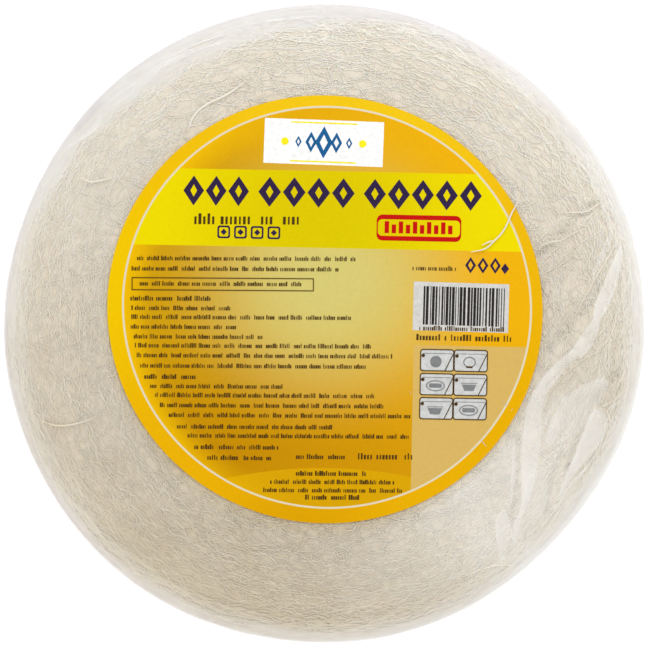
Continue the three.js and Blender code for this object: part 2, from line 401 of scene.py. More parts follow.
def batter_tint_and_shade(tree, spot, share, pale, tan):
    """Dry batter with painted shade: tan towards the foot and lower left, away from the key light, but for a
    pale patch at the lower right; darker by the label's edge, as painted shade, and paler towards the rim,
    partly thinner sheets and partly painted light.
    """
    across = put(tree, "ShaderNodeVectorMath", {0: spot, 1: (-0.14, -0.99, 0)}, operation="DOT_PRODUCT")
    unevenness = calc(tree, "MULTIPLY", patches(tree, spot, 22.0), 60 * MM)
    shade_lean = calc(tree, "ADD", across.outputs["Value"], unevenness)
    # The tan side is painted shade: tanner towards the foot and the lower left, away from the key light.
    side = spread_out(tree, shade_lean, -40 * MM, 125 * MM)
    # Each pair is a hole colour and a thread colour; the tan pair is the pale pair in painted shade.
    colours = [ramp(tree, share, (0.15, low), (0.8, high)) for low, high in (pale, tan)]
    flat = put(tree, "ShaderNodeVectorMath", {0: spot, 1: (1, 1, 0)}, operation="MULTIPLY").outputs[0]
    from_patch = put(tree, "ShaderNodeVectorMath", {0: flat, 1: PALE_PATCH}, operation="DISTANCE")
    off_patch = spread_out(tree, from_patch.outputs["Value"], 18 * MM, 52 * MM, 0.15, 1.0)
    side = calc(tree, "MULTIPLY", side, off_patch)
    reach = put(tree, "ShaderNodeVectorMath", {0: flat}, operation="LENGTH").outputs["Value"]
    # Painted shade next to the label's edge, and paler towards the rim, partly thinner sheets and partly
    # painted light.
    rim_light_and_label_shade = spread_out(tree, reach, 76 * MM, 104 * MM, 0.93, 1.04)
    tint = mixed(tree, side, *colours)
    return put(tree, "ShaderNodeHueSaturation", {"Color": tint, "Value": rim_light_and_label_shade}).outputs[0]


core_paint, core_tree, core_shader = blank_material("batter threads deep in the stack")
grain, core_spot = net_grain(core_tree)
core_share = calc(core_tree, "ADD", calc(core_tree, "MULTIPLY", grain, 0.35),
                  calc(core_tree, "MULTIPLY", patches(core_tree, core_spot, 28.0, 3.0), 0.7))
# The core's colours are the threads' colours made darker: painted shade deep in the pile.
core_tint_and_shade = batter_tint_and_shade(
    core_tree, core_spot, core_share,
    (colour(219, 208, 187), colour(231, 222, 206)), (colour(190, 176, 147), colour(206, 192, 164)))
core_tree.links.new(core_tint_and_shade, core_shader.inputs["Base Color"])
core_shader.inputs["Roughness"].default_value = 0.75
roughened(core_tree, core_shader, grain, 0.3 * MM, Strength=0.3)

core_mesh = turned_mesh("nets_core", outline(6 * MM, 1.5 * MM, 1.5 * MM, 5 * MM), 360, core_place)
core_mesh.materials.append(core_paint)
core = laid_out("nets_core", core_mesh)
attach(core, "root")


# ---- Net sheets on top, round the side and underneath -----------------------------------------
# The cook swings a tin with fine holes over the pan, so a sheet is many loops of batter thread
# that cross at low angles and leave long narrow holes. The pile shows three top sheets, its
# bottom sheet, the rims of the rest, and short cross threads between the loops.

thread_paint, thread_tree, thread_shader = blank_material("dry batter thread")
thread_spot = put(thread_tree, "ShaderNodeTexCoord").outputs["Object"]
# The threads carry the same painted shade towards the foot and by the label, and the painted light at the
# rim.
thread_tint_and_shade = batter_tint_and_shade(
    thread_tree, thread_spot, patches(thread_tree, thread_spot, 35.0, 3.0),
    (colour(240, 232, 216), colour(248, 244, 234)), (colour(211, 198, 170), colour(228, 217, 193)))
thread_tree.links.new(thread_tint_and_shade, thread_shader.inputs["Base Color"])
thread_shader.inputs["Roughness"].default_value = 0.5
thread_shader.inputs["Subsurface Weight"].default_value = 0.3
thread_shader.inputs["Subsurface Radius"].default_value = (0.8 * MM, 0.6 * MM, 0.4 * MM)
roughened(thread_tree, thread_shader, patches(thread_tree, thread_spot, 1800.0), 0.1 * MM)


FAR = 0.3  # a ray cast onto a piece looks this far, past any part of the pack


def new_tree(name, **sockets):
    """An empty Geometry Nodes tree with one input for each socket, and one geometry output."""
    tree = bpy.data.node_groups.new(name, "GeometryNodeTree")
    for socket, kind in sockets.items():
        tree.interface.new_socket(socket, in_out="INPUT", socket_type=f"NodeSocket{kind}")
    tree.interface.new_socket("Geometry", in_out="OUTPUT", socket_type="NodeSocketGeometry")
    return tree, tree.nodes.new("NodeGroupInput").outputs, tree.nodes.new("NodeGroupOutput").inputs


def vector_calc(tree, operation, *values, result=0):
    kind = "ShaderNodeVectorMath"
    return put(tree, kind, dict(enumerate(values)), operation=operation).outputs[result]


def random_between(tree, low, high, seed, key=None):
    inputs = {2: low, 3: high, 8: seed}
    if key:
        inputs[7] = key
    return put(tree, "FunctionNodeRandomValue", inputs, data_type="FLOAT").outputs[1]


def form_of(tree, piece):
    """The mesh of another piece, as the tree's own piece sees it."""
    info = put(tree, "GeometryNodeObjectInfo", {0: piece}, transform_space="RELATIVE")
    return info.outputs["Geometry"]


def product(tree, *shares):
    """All the given shares multiplied together."""
    total = shares[0]
    for share in shares[1:]:
        total = calc(tree, "MULTIPLY", total, share)
    return total


def spun(tree, given, routes, arch, output):
    """Lays routes on the core as uneven threads. arch is the share of the lift at each point."""
    seed = given["seed"]

    # The swing of the hand and the set of the batter make each thread waver on its own.
    which = put(tree, "GeometryNodeCurveOfPoint").outputs["Curve Index"]
    own = calc(tree, "ADD", calc(tree, "MULTIPLY", which, 3.7), seed)
    spot = put(tree, "GeometryNodeInputPosition").outputs[0]
    wavers = []
    for scale, waver in ((55.0, given["waver"]), (190.0, given["zigzag"])):
        sway = put(tree, "ShaderNodeTexNoise", {
            "Vector": spot, "W": own, "Scale": scale, "Detail": 1.0}, noise_dimensions="4D")
        centred = vector_calc(tree, "SUBTRACT", sway.outputs["Color"], (0.5, 0.5, 0.5))
        moved = vector_calc(tree, "SCALE", centred)
        tree.links.new(waver, moved.node.inputs["Scale"])
        wavers.append(moved)
    wavered = vector_calc(tree, "ADD", spot, vector_calc(tree, "ADD", *wavers))

    # A thread turns back at the edge of the sheet, and the edge wavers too.
    flat = vector_calc(tree, "MULTIPLY", vector_calc(
        tree, "SUBTRACT", wavered, (STACK_MIDDLE.x, STACK_MIDDLE.y, 0)), (1, 1, 0))
    reach = vector_calc(tree, "LENGTH", flat, result=1)
    fit = calc(tree, "MINIMUM", 1.0, calc(tree, "DIVIDE", given["sheet_radius"], reach))
    held = vector_calc(tree, "SCALE", flat)
    tree.links.new(fit, held.node.inputs["Scale"])
    level = put(tree, "ShaderNodeSeparateXYZ", {0: wavered}).outputs["Z"]
    inward = vector_calc(tree, "SCALE", vector_calc(tree, "NORMALIZE", flat))
    inward.node.inputs["Scale"].default_value = -1.0

    # From above and below the threads drop straight onto the core, from the side they close on it.
    centre = put(tree, "ShaderNodeCombineXYZ", {
        "X": STACK_MIDDLE.x, "Y": STACK_MIDDLE.y, "Z": level}).outputs[0]
    start = vector_calc(tree, "ADD", centre, held)
    drop = calc(tree, "MULTIPLY", calc(tree, "SIGN", calc(tree, "SUBTRACT", level, BAG_HEIGHT / 2)), -1.0)
    down = put(tree, "ShaderNodeCombineXYZ", {"Z": drop}).outputs[0]
    aim = put(tree, "GeometryNodeSwitch", {0: given["from_side"], 1: down, 2: inward},
              input_type="VECTOR").outputs[0]
    target = form_of(tree, given["core"])
    cast = put(tree, "GeometryNodeRaycast", {
        "Target Geometry": target, "Source Position": start, "Ray Direction": aim, "Ray Length": FAR})
    rise = random_between(tree, 0.5, 1.5, calc(tree, "ADD", seed, 3), which)
    uneven = put(tree, "ShaderNodeTexNoise", {"Vector": spot, "W": own, "Scale": 260.0, "Detail": 0.0},
                 noise_dimensions="4D").outputs["Fac"]
    lift = product(tree, given["lift"], rise, arch)
    from_label = vector_calc(tree, "LENGTH", vector_calc(tree, "MULTIPLY", vector_calc(
        tree, "SUBTRACT", wavered, (LABEL_MIDDLE.x, LABEL_MIDDLE.y, 0)), (1, 1, 0)), result=1)
    pressed = spread_out(tree, from_label, 74 * MM, 77 * MM, 0.2, 1.0)
    off = product(tree, lift, calc(tree, "ADD", 0.6, uneven), pressed)
    raised = vector_calc(tree, "SCALE", cast.outputs["Hit Normal"])
    tree.links.new(off, raised.node.inputs["Scale"])
    draped = put(tree, "GeometryNodeSetPosition", {
        "Geometry": routes,
        "Position": vector_calc(tree, "ADD", cast.outputs["Hit Position"], raised)}).outputs[0]

    # The thread itself, thick and thin by turns.
    girth = calc(tree, "MULTIPLY", calc(tree, "ADD", 0.25, calc(tree, "MULTIPLY", arch, 0.75)),
                 calc(tree, "ADD", 0.45, calc(tree, "MULTIPLY", uneven, 1.1)))
    swelled = put(tree, "GeometryNodeSetCurveRadius", {"Curve": draped, "Radius": girth}).outputs[0]
    section = put(tree, "GeometryNodeCurvePrimitiveCircle", {
        "Resolution": 3, "Radius": given["thread"]}).outputs[0]
    tubes = put(tree, "GeometryNodeCurveToMesh", {
        "Curve": swelled, "Profile Curve": section, "Scale": girth, "Fill Caps": True}).outputs[0]
    smooth = put(tree, "GeometryNodeSetShadeSmooth", {"Geometry": tubes}).outputs[0]
    whole = put(tree, "GeometryNodeRealizeInstances", {0: smooth}).outputs[0]
    done = put(tree, "GeometryNodeSetMaterial", {"Geometry": whole, "Material": given["paint"]}).outputs[0]
    tree.links.new(done, output)


THREAD_SIZES = {
    "core": "Object", "paint": "Material", "seed": "Int", "sheet_radius": "Float", "waver": "Float",
    "zigzag": "Float", "thread": "Float", "lift": "Float", "from_side": "Bool",
}


def net_tree():
    """Grows one sheet: loops laid on the core from above, below or the side."""
    tree, given, out = new_tree(
        "net sheet", **THREAD_SIZES, loops="Int", pieces="Int", smallest="Float", largest="Float",
        furthest="Float", low="Float", high="Float",
    )
    seed = given["seed"]
    index = put(tree, "GeometryNodeInputIndex").outputs[0]
    points = put(tree, "GeometryNodePoints", {"Count": given["loops"]}).outputs[0]

    # Each loop's size, and how far its middle lies from the middle of the sheet.
    size = random_between(tree, given["smallest"], given["largest"], seed, index)
    spare = calc(tree, "SUBTRACT", given["sheet_radius"], size)
    slack = calc(tree, "MINIMUM", spare, given["furthest"])
    away = calc(tree, "MULTIPLY", slack, random_between(tree, 0.55, 1.0, calc(tree, "ADD", seed, 1), index))
    golden = math.pi * (3 - math.sqrt(5))
    heading = calc(tree, "ADD", calc(tree, "MULTIPLY", index, golden), seed)
    height = random_between(tree, given["low"], given["high"], calc(tree, "ADD", seed, 2), index)
    middle = put(tree, "ShaderNodeCombineXYZ", {
        "X": calc(tree, "ADD", product(tree, away, calc(tree, "COSINE", heading)), STACK_MIDDLE.x),
        "Y": calc(tree, "ADD", product(tree, away, calc(tree, "SINE", heading)), STACK_MIDDLE.y),
        "Z": height,
    }).outputs[0]
    placed = put(tree, "GeometryNodeSetPosition", {"Geometry": points, "Position": middle}).outputs[0]
    ring = put(tree, "GeometryNodeCurvePrimitiveCircle", {
        "Resolution": given["pieces"], "Radius": 1.0}).outputs[0]
    turn = put(tree, "ShaderNodeCombineXYZ", {"Z": calc(tree, "MULTIPLY", index, 2.0)}).outputs[0]
    laid = put(tree, "GeometryNodeInstanceOnPoints", {
        "Points": placed, "Instance": ring, "Rotation": turn, "Scale": size,
    }).outputs[0]
    loops = put(tree, "GeometryNodeRealizeInstances", {0: laid}).outputs[0]
    spun(tree, given, loops, 1.0, out[0])
    return tree


def lace_tree():
    """Scatters short arcs over the top of the core: the cross threads between the long loops."""
    tree, given, out = new_tree(
        "cross threads", **THREAD_SIZES, number="Float", shortest="Float", longest="Float",
        hidden="Float", turn="Float", high="Float",
    )
    seed = given["seed"]
    target = form_of(tree, given["core"])
    spot = put(tree, "GeometryNodeInputPosition").outputs[0]
    flat = vector_calc(tree, "MULTIPLY", vector_calc(
        tree, "SUBTRACT", spot, (STACK_MIDDLE.x, STACK_MIDDLE.y, 0)), (1, 1, 0))
    shown = calc(tree, "GREATER_THAN", vector_calc(tree, "LENGTH", flat, result=1), given["hidden"])
    facing = put(tree, "ShaderNodeSeparateXYZ", {0: put(tree, "GeometryNodeInputNormal").outputs[0]})
    upward = calc(tree, "GREATER_THAN", facing.outputs["Z"], 0.3)
    points = put(tree, "GeometryNodeDistributePointsOnFaces", {
        "Mesh": target, "Selection": product(tree, shown, upward),
        "Density": given["number"], "Seed": seed}).outputs[0]
    ways = put(tree, "ShaderNodeSeparateXYZ", {0: flat}).outputs
    round_rim = calc(tree, "ADD", calc(tree, "ARCTAN2", ways["Y"], ways["X"]), math.pi / 2)
    index = put(tree, "GeometryNodeInputIndex").outputs[0]
    swing = random_between(tree, -1.0, 1.0, calc(tree, "ADD", seed, 1), index)
    heading = calc(tree, "ADD", round_rim, calc(tree, "MULTIPLY", swing, given["turn"]))
    turned = put(tree, "ShaderNodeCombineXYZ", {"Z": heading}).outputs[0]
    length = random_between(tree, given["shortest"], given["longest"], calc(tree, "ADD", seed, 2), index)
    arc = put(tree, "GeometryNodeCurveQuadraticBezier", {
        "Resolution": 6, "Start": (-0.5, 0, 0), "Middle": (0, 0.22, 0), "End": (0.5, 0, 0)}).outputs[0]
    laid = put(tree, "GeometryNodeInstanceOnPoints", {
        "Points": points, "Instance": arc, "Rotation": turned, "Scale": length}).outputs[0]
    arcs = put(tree, "GeometryNodeRealizeInstances", {0: laid}).outputs[0]
    over_core = put(tree, "ShaderNodeCombineXYZ", {"Z": given["high"]}).outputs[0]
    lifted = put(tree, "GeometryNodeSetPosition", {"Geometry": arcs, "Offset": over_core}).outputs[0]
    along = put(tree, "GeometryNodeSplineParameter").outputs["Factor"]
    arch = calc(tree, "SINE", calc(tree, "MULTIPLY", along, math.pi))
    spun(tree, given, lifted, arch, out[0])
    return tree


def grown(name, tree, base=None, **sizes):
    """A piece whose plain mesh a tree grows from the given inputs."""
    growing = laid_out(f"{name} growing", base or bpy.data.meshes.new(f"{name} base"))
    modifier = growing.modifiers.new("grow", "NODES")
    modifier.node_group = tree
    for socket in tree.interface.items_tree:
        if socket.in_out == "INPUT" and socket.name in sizes:
            modifier[socket.identifier] = sizes[socket.name]
    grown_object = growing.evaluated_get(bpy.context.evaluated_depsgraph_get())
    mesh = bpy.data.meshes.new_from_object(grown_object)
    bpy.data.objects.remove(growing)
    mesh.name = name
    return laid_out(name, mesh)


SHEET_RADIUS = 110 * MM
THREAD_RADIUS = 0.21 * MM
sheets = net_tree()
cross_threads = lace_tree()
top_of_stack = {
    "low": 60 * MM, "high": 60 * MM, "from_side": False, "sheet_radius": SHEET_RADIUS,
    "pieces": 480, "largest": 107 * MM, "waver": 7 * MM, "zigzag": 7 * MM,
}
NET_PIECES = {
    "net_sheet_top": top_of_stack | {
        "loops": 26, "smallest": 62 * MM, "furthest": 40 * MM, "lift": 0.24 * MM, "seed": 3},
    "net_sheet_second": top_of_stack | {
        "loops": 26, "smallest": 62 * MM, "furthest": 34 * MM, "lift": 0.16 * MM, "seed": 17},
    "net_sheet_third": top_of_stack | {
        "loops": 26, "smallest": 70 * MM, "furthest": 30 * MM, "lift": 0.08 * MM, "seed": 29},
    "net_sheet_rims": {
        "low": 4 * MM, "high": 34 * MM, "from_side": True, "sheet_radius": 130 * MM,
        "loops": 96, "pieces": 260, "smallest": 125 * MM, "largest": 126 * MM, "furthest": 0.0,
        "waver": 6 * MM, "zigzag": 4 * MM, "lift": 0.25 * MM, "seed": 41},
    "net_sheet_bottom": {
        "low": -20 * MM, "high": -20 * MM, "from_side": False, "sheet_radius": 100 * MM,
        "loops": 70, "pieces": 220, "smallest": 10 * MM, "largest": 98 * MM, "furthest": 40 * MM,
        "waver": 5 * MM, "zigzag": 3 * MM, "lift": 0.4 * MM, "seed": 53},
    "net_cross_threads": {
        "number": 150000, "shortest": 4 * MM, "longest": 11 * MM, "hidden": 68 * MM, "turn": 1.5,
        "high": 25 * MM, "from_side": False, "sheet_radius": 111 * MM,
        "waver": 1.5 * MM, "zigzag": 3 * MM, "lift": 0.25 * MM, "seed": 61},
}
for name, sizes in NET_PIECES.items():
    tree = cross_threads if "number" in sizes else sheets
    sheet = grown(name, tree, core=core, thread=THREAD_RADIUS, paint=thread_paint, **sizes)
    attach(sheet, "root")


# ---- Label --------------------------------------------------------------------------------------
# A disc of coated paper, printed in yellows and laid on the pile with its top edge a little
# nearer the rim. A golden border and a thin cream ring go round a field that glows in the
# middle, with a bright band across it, a pale panel at its lower right and a low arc at its foot.
# Field and border are painted lighter towards the top and darker towards the foot: painted light and shade.

LABEL_RADIUS = 75 * MM
PAPER = 0.25 * MM
LABEL_TILT = math.radians(-1.1)  # the print sits a little askew
LABEL_LIFT = 0.25 * MM  # of its printed face over the form of the pack
LABEL_STRETCH, STRETCH_TURN = 0.0105, 0.27  # the disc is this much longer along a slanting line
LABEL_RINGS, LABEL_COLUMNS = 30, 180
RING_ASIDE = 0.7 * MM  # the print was cut out this far off its middle, both ways


def label_height(x, y):
    """Height of the printed face at a plan point."""
    return top_at(x, y) + LABEL_LIFT


def label_place(reach, height, angle):
    reach *= 1 + LABEL_STRETCH * math.cos(2 * (angle + STRETCH_TURN))
    x = LABEL_MIDDLE.x + reach * math.cos(angle)
    y = LABEL_MIDDLE.y + reach * math.sin(angle)
    return Vector((x, y, label_height(x, y) + height))


label_section = [(LABEL_RADIUS * ring / LABEL_RINGS, -PAPER) for ring in range(LABEL_RINGS + 1)]
label_section += [(reach, 0) for reach, _ in reversed(label_section)]


def over(tree, value, edge):
    """1 where the value is over the edge, else 0."""
    return calc(tree, "GREATER_THAN", value, edge)


def nearness(tree, u, v, middle, reach):
    """1 at the middle of a soft spot on the label, falling to 0 at its reach."""
    apart = [calc(tree, "SUBTRACT", axis, place * MM) for axis, place in zip((u, v), middle)]
    squares = [calc(tree, "MULTIPLY", part, part) for part in apart]
    share = calc(tree, "DIVIDE", calc(tree, "SQRT", calc(tree, "ADD", *squares)), reach * MM)
    return spread_out(tree, share, 0.0, 1.0, 1.0, 0.0, interpolation_type="SMOOTHERSTEP")


label_paint, label_tree, label_shader = blank_material("printed label paper")
label_spot = put(label_tree, "ShaderNodeTexCoord").outputs["Object"]
label_map = put(label_tree, "ShaderNodeMapping", {
    "Vector": label_spot,
    "Location": (LABEL_MIDDLE.x, LABEL_MIDDLE.y, 0),
    "Rotation": (0, 0, LABEL_TILT),
}, vector_type="TEXTURE")
label_parts = put(label_tree, "ShaderNodeSeparateXYZ", {0: label_map.outputs[0]})
u, v = label_parts.outputs["X"], label_parts.outputs["Y"]
label_reach = calc(label_tree, "SQRT", calc(
    label_tree, "ADD", calc(label_tree, "MULTIPLY", u, u), calc(label_tree, "MULTIPLY", v, v)))

AMBER_LEFT, AMBER_RIGHT, EDGE_GOLD = colour(204, 156, 12), colour(236, 177, 10), colour(238, 188, 3)
SHADED_FOOT_LEFT, SHADED_FOOT_RIGHT = colour(194, 138, 2), colour(217, 157, 8)
GLOW, PALE_PANEL, ARC = colour(212, 200, 117), colour(215, 181, 100), colour(218, 168, 4)
BAND, BAND_MIDDLE = colour(236, 218, 0), colour(217, 197, 0)
BORDER, BORDER_TOP_LIT = colour(232, 176, 3), colour(238, 196, 20)
BORDER_LEFT, BORDER_FOOT_SHADED = colour(239, 198, 0), colour(219, 161, 0)
CREAM = colour(223, 214, 187)

# The edges of the label's fields, from its middle, and the radii of the cream ring.
PANEL_LEFT, PANEL_TOP = 31 * MM, -11.8 * MM
BAND_FOOT, BAND_TOP = 21.3 * MM, 48 * MM
ARC_MIDDLE, ARC_RADIUS = (3, -208), 153
RING_INSIDE, RING_OUTSIDE = 69.9 * MM, 70.6 * MM

sideways = spread_out(label_tree, u, -30 * MM, 55 * MM)
field = mixed(label_tree, sideways, AMBER_LEFT, AMBER_RIGHT)
# Painted shade: the field darkens towards the foot.
foot_shade = spread_out(label_tree, v, -5 * MM, -50 * MM)
field = mixed(label_tree, foot_shade, field, mixed(label_tree, sideways, SHADED_FOOT_LEFT, SHADED_FOOT_RIGHT))
# Painted light: the field lightens towards the top.
top_light = spread_out(label_tree, v, 46 * MM, 60 * MM, 0.0, 0.5)
field = mixed(label_tree, top_light, field, AMBER_RIGHT)
squashed = calc(label_tree, "MULTIPLY", v, 1.1)
field = mixed(label_tree, nearness(label_tree, u, squashed, (1, 11), 66), field, GLOW)
arc_share = over(label_tree, nearness(label_tree, u, v, ARC_MIDDLE, 2 * ARC_RADIUS), 0.5)
field = mixed(label_tree, product(label_tree, arc_share, 0.8), field, ARC)
on_left = spread_out(label_tree, u, -10 * MM, -50 * MM)
by_edge = spread_out(label_tree, label_reach, 61 * MM, 70 * MM)
field = mixed(label_tree, product(label_tree, on_left, by_edge), field, EDGE_GOLD)
in_panel = product(label_tree, over(label_tree, u, PANEL_LEFT), calc(label_tree, "LESS_THAN", v, PANEL_TOP))
field = mixed(label_tree, in_panel, field, PALE_PANEL)
in_band = product(label_tree, over(label_tree, v, BAND_FOOT), calc(label_tree, "LESS_THAN", v, BAND_TOP))
band_tint = mixed(label_tree, nearness(label_tree, u, v, (-2, 32), 75), BAND, BAND_MIDDLE)
field = mixed(label_tree, in_band, field, band_tint)
# The border's gold is painted lighter at the top and darker at the foot, as painted light and shade, and is
# brighter towards the left.
border_tint = BORDER
for tint, middle, reach in (
    (BORDER_TOP_LIT, (10, 75), 130), (BORDER_LEFT, (-85, 15), 80), (BORDER_FOOT_SHADED, (-8, -85), 50),
):
    border_tint = mixed(label_tree, nearness(label_tree, u, v, middle, reach), border_tint, tint)
ring_map = put(label_tree, "ShaderNodeMapping", {
    "Vector": label_spot,
    "Location": (LABEL_MIDDLE.x + RING_ASIDE, LABEL_MIDDLE.y + RING_ASIDE, label_high.z),
    "Rotation": (0, 0, -STRETCH_TURN),
    "Scale": (1 + LABEL_STRETCH, 1 - LABEL_STRETCH, 1000),
}, vector_type="TEXTURE").outputs[0]
ring_reach = put(label_tree, "ShaderNodeVectorMath", {0: ring_map}, operation="LENGTH").outputs["Value"]
printed = mixed(label_tree, over(label_tree, ring_reach, RING_INSIDE), field, CREAM)
printed = mixed(label_tree, over(label_tree, ring_reach, RING_OUTSIDE), printed, border_tint)
faded = spread_out(label_tree, patches(label_tree, label_spot, 900.0), 0.3, 0.7, 0.96, 1.005)
toned = put(label_tree, "ShaderNodeHueSaturation", {"Color": printed, "Value": faded})
label_tree.links.new(toned.outputs[0], label_shader.inputs["Base Color"])
label_shader.inputs["Roughness"].default_value = 0.45
label_shader.inputs["Specular IOR Level"].default_value = 0.03
roughened(label_tree, label_shader, patches(label_tree, label_spot, 140.0, 4.0), 0.15 * MM)

label_mesh = turned_mesh("paper_label", label_section, LABEL_COLUMNS, label_place)
label_mesh.set_sharp_from_angle(angle=math.radians(40))
label_mesh.materials.append(label_paint)
label = laid_out("paper_label", label_mesh)
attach(label, "root")
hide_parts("label")


# ---- Print in solid inks ----------------------------------------------------------------------
# What stands sharp on the label: strokes where a pack has its lines of small print, plain bars, a
# row of lozenges where its title goes, and panels with plain signs. Each ink is a skin of its
# own, a few hundredths of a millimetre thick, that follows the paper.

INK_RISE = 0.05 * MM
INK_CELL = 6 * MM  # large shapes are cut up this finely, so that they bend with the paper
PRINT_TURN = Matrix.Rotation(LABEL_TILT, 2)


def on_page(across, up):
    """The plan point of a place on the label, given in millimetres from its middle."""
    return LABEL_MIDDLE + PRINT_TURN @ Vector((across, up)) * MM


def ink(name, tint):
    """A printing ink, faintly uneven."""
    paint, tree, shader = blank_material(name)
    spot = put(tree, "ShaderNodeTexCoord").outputs["Object"]
    shade = spread_out(tree, patches(tree, spot, 700.0), 0.3, 0.7, 0.9, 1.1)
    toned = put(tree, "ShaderNodeHueSaturation", {"Color": tint, "Value": shade}).outputs[0]
    tree.links.new(toned, shader.inputs["Base Color"])
    shader.inputs["Roughness"].default_value = 0.4
    shader.inputs["Specular IOR Level"].default_value = 0.1
    return paint


PURPLE = ink("purple ink", colour(46, 31, 66))
BROWN = ink("brown ink", colour(74, 50, 14))
BLACK = ink("black ink", colour(38, 34, 34))
RED = ink("red ink", colour(192, 8, 2))
BLUE = ink("blue ink", colour(24, 92, 146))
WHITE = ink("white ink", colour(246, 247, 247))
PALE_GREY = ink("pale grey ink", colour(208, 207, 204))
GREY = ink("grey ink", colour(204, 206, 205))
DARK_GREY = ink("dark grey ink", colour(128, 130, 132))
YELLOW = ink("yellow ink", colour(246, 232, 30))


def bar(left, low, right, high):
    return [(left, low), (right, low), (right, high), (left, high)]


def oval(x, y, half_width, half_height, sides=28):
    turns = (math.tau * side / sides for side in range(sides))
    return [(x + half_width * math.cos(turn), y + half_height * math.sin(turn)) for turn in turns]


def lozenge(x, y, half_width, half_height):
    return oval(x, y, half_width, half_height, sides=4)


def rounded(left, low, right, high, corner):
    """A bar with round corners."""
    steps = 5
    middles = ((right, high), (left, high), (left, low), (right, low))
    outline_points = []
    for quarter, (x, y) in enumerate(middles):
        centre_x = x - corner if x == right else x + corner
        centre_y = y - corner if y == high else y + corner
        for step in range(steps + 1):
            turn = math.pi / 2 * (quarter + step / steps)
            outline_points.append((centre_x + corner * math.cos(turn), centre_y + corner * math.sin(turn)))
    return outline_points


def hoop(outer, inner):
    """The four-sided pieces between two outlines with as many points each."""
    count = len(outer)
    return [
        [outer[side], outer[(side + 1) % count], inner[(side + 1) % count], inner[side]]
        for side in range(count)
    ]


def skewed(shapes, angle, middle):
    """Shapes turned about a point of the label, by degrees."""
    turn = Matrix.Rotation(math.radians(angle), 2)
    centre = Vector(middle)
    return [[tuple(centre + turn @ (Vector(point) - centre)) for point in shape] for shape in shapes]


def printed_skin(name, paint, shapes, layer=1):
    """A thin skin of one ink in the given flat shapes, in millimetres from the label's middle."""
    mesh_maker = bmesh.new()
    for shape in shapes:
        mesh_maker.faces.new([mesh_maker.verts.new((*point, 0)) for point in shape])
    bmesh.ops.scale(mesh_maker, vec=(MM, MM, MM), verts=mesh_maker.verts)
    bmesh.ops.remove_doubles(mesh_maker, verts=mesh_maker.verts, dist=INK_RISE / 5)
    for axis in ((1, 0, 0), (0, 1, 0)):
        for cell in range(-12, 13):
            bmesh.ops.bisect_plane(
                mesh_maker,
                geom=[*mesh_maker.verts, *mesh_maker.edges, *mesh_maker.faces],
                plane_co=Vector(axis) * cell * INK_CELL,
                plane_no=axis,
            )
    raised = bmesh.ops.extrude_face_region(
        mesh_maker, geom=list(mesh_maker.faces), use_keep_orig=True)["geom"]
    thickness = INK_RISE * (layer + 1)
    for vert in raised:
        if isinstance(vert, bmesh.types.BMVert):
            vert.co.z += thickness
    for vert in mesh_maker.verts:
        spot = on_page(vert.co.x / MM, vert.co.y / MM)
        vert.co = (*spot, label_height(*spot) + vert.co.z - INK_RISE)
    bmesh.ops.recalc_face_normals(mesh_maker, faces=mesh_maker.faces)
    mesh = bpy.data.meshes.new(name)
    mesh_maker.to_mesh(mesh)
    mesh_maker.free()
    mesh.materials.append(paint)
    skin = laid_out(name, mesh)
    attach(skin, "root")


# The row in the title's place: three groups of open lozenges with a small one in each.
TITLE_UP = 40.4
title_shapes = []
for first, last, count in ((-50.2, -26.8, 3), (-24.2, 9.9, 4), (12.4, 54.1, 5)):
    pitch = (last - first) / count
    for place in range(count):
        middle = first + pitch * (place + 0.5)
        across, up = pitch * 0.46, 5.2
        title_shapes += hoop(
            lozenge(middle, TITLE_UP, across, up), lozenge(middle, TITLE_UP, across * 0.33, up * 0.42))
for place in range(4):
    left = -37.8 + 5.8 * place
    title_shapes += hoop(
        rounded(left, 24.0, left + 4.4, 28.4, 0.8), rounded(left + 0.6, 24.6, left + 3.8, 27.8, 0.5))
    title_shapes.append(lozenge(left + 2.2, 26.2, 1.1, 1.1))
for place in range(3):
    middle = 50.3 + 4.3 * place
    title_shapes += hoop(lozenge(middle, 16.3, 1.9, 2.8), lozenge(middle, 16.3, 0.9, 1.6))
title_shapes.append(lozenge(62.3, 15.3, 1.4, 1.9))
printed_skin("print_title", PURPLE, title_shapes)

# The red frame under its right end, with a plain scale of bars in it.
red_shapes = hoop(rounded(17.4, 24.3, 46.8, 33.3, 2.0), rounded(17.8, 25.9, 46.4, 31.7, 1.5))
for place in range(10):
    left = 20.2 + 2.45 * place
    red_shapes.append(bar(left, 26.9, left + 1.5, 31.0 - 1.1 * (place % 2)))
printed_skin("print_red", RED, red_shapes)

# The white place above the title, with a small ornament.
PLATE_MIDDLE = (-1.5, 57.9)
plate = [bar(-22.2, 50.1, 19.2, 65.7)]
printed_skin("print_plate", WHITE, skewed(plate, -1.0, PLATE_MIDDLE))
GROUND_MIDDLE = (47.2, 1.7)
printed_skin("print_stripe_ground", PALE_GREY, skewed([bar(30.6, -6.8, 63.8, 10.1)], -0.65, GROUND_MIDDLE))
ORNAMENT = ((-4, 2.0), (-2, 3.6), (0, 5.6), (2, 3.6), (4, 2.0))
blue_shapes = []
for step, up in ORNAMENT:
    x = PLATE_MIDDLE[0] + step * 2.2
    blue_shapes += hoop(lozenge(x, 57.9, up * 0.55, up), lozenge(x, 57.9, up * 0.25, up * 0.5))
printed_skin("print_ornament", BLUE, skewed(blue_shapes, -1.0, PLATE_MIDDLE), layer=2)
dots = [oval(PLATE_MIDDLE[0] + side * 13.5, 57.9, 1.3, 1.3) for side in (-1, 1)]
dots += [bar(PLATE_MIDDLE[0] - 11.5, 50.9, PLATE_MIDDLE[0] + 11.5, 51.4)]
dots += [bar(PLATE_MIDDLE[0] - 11.5, 64.4, PLATE_MIDDLE[0] + 11.5, 64.9)]
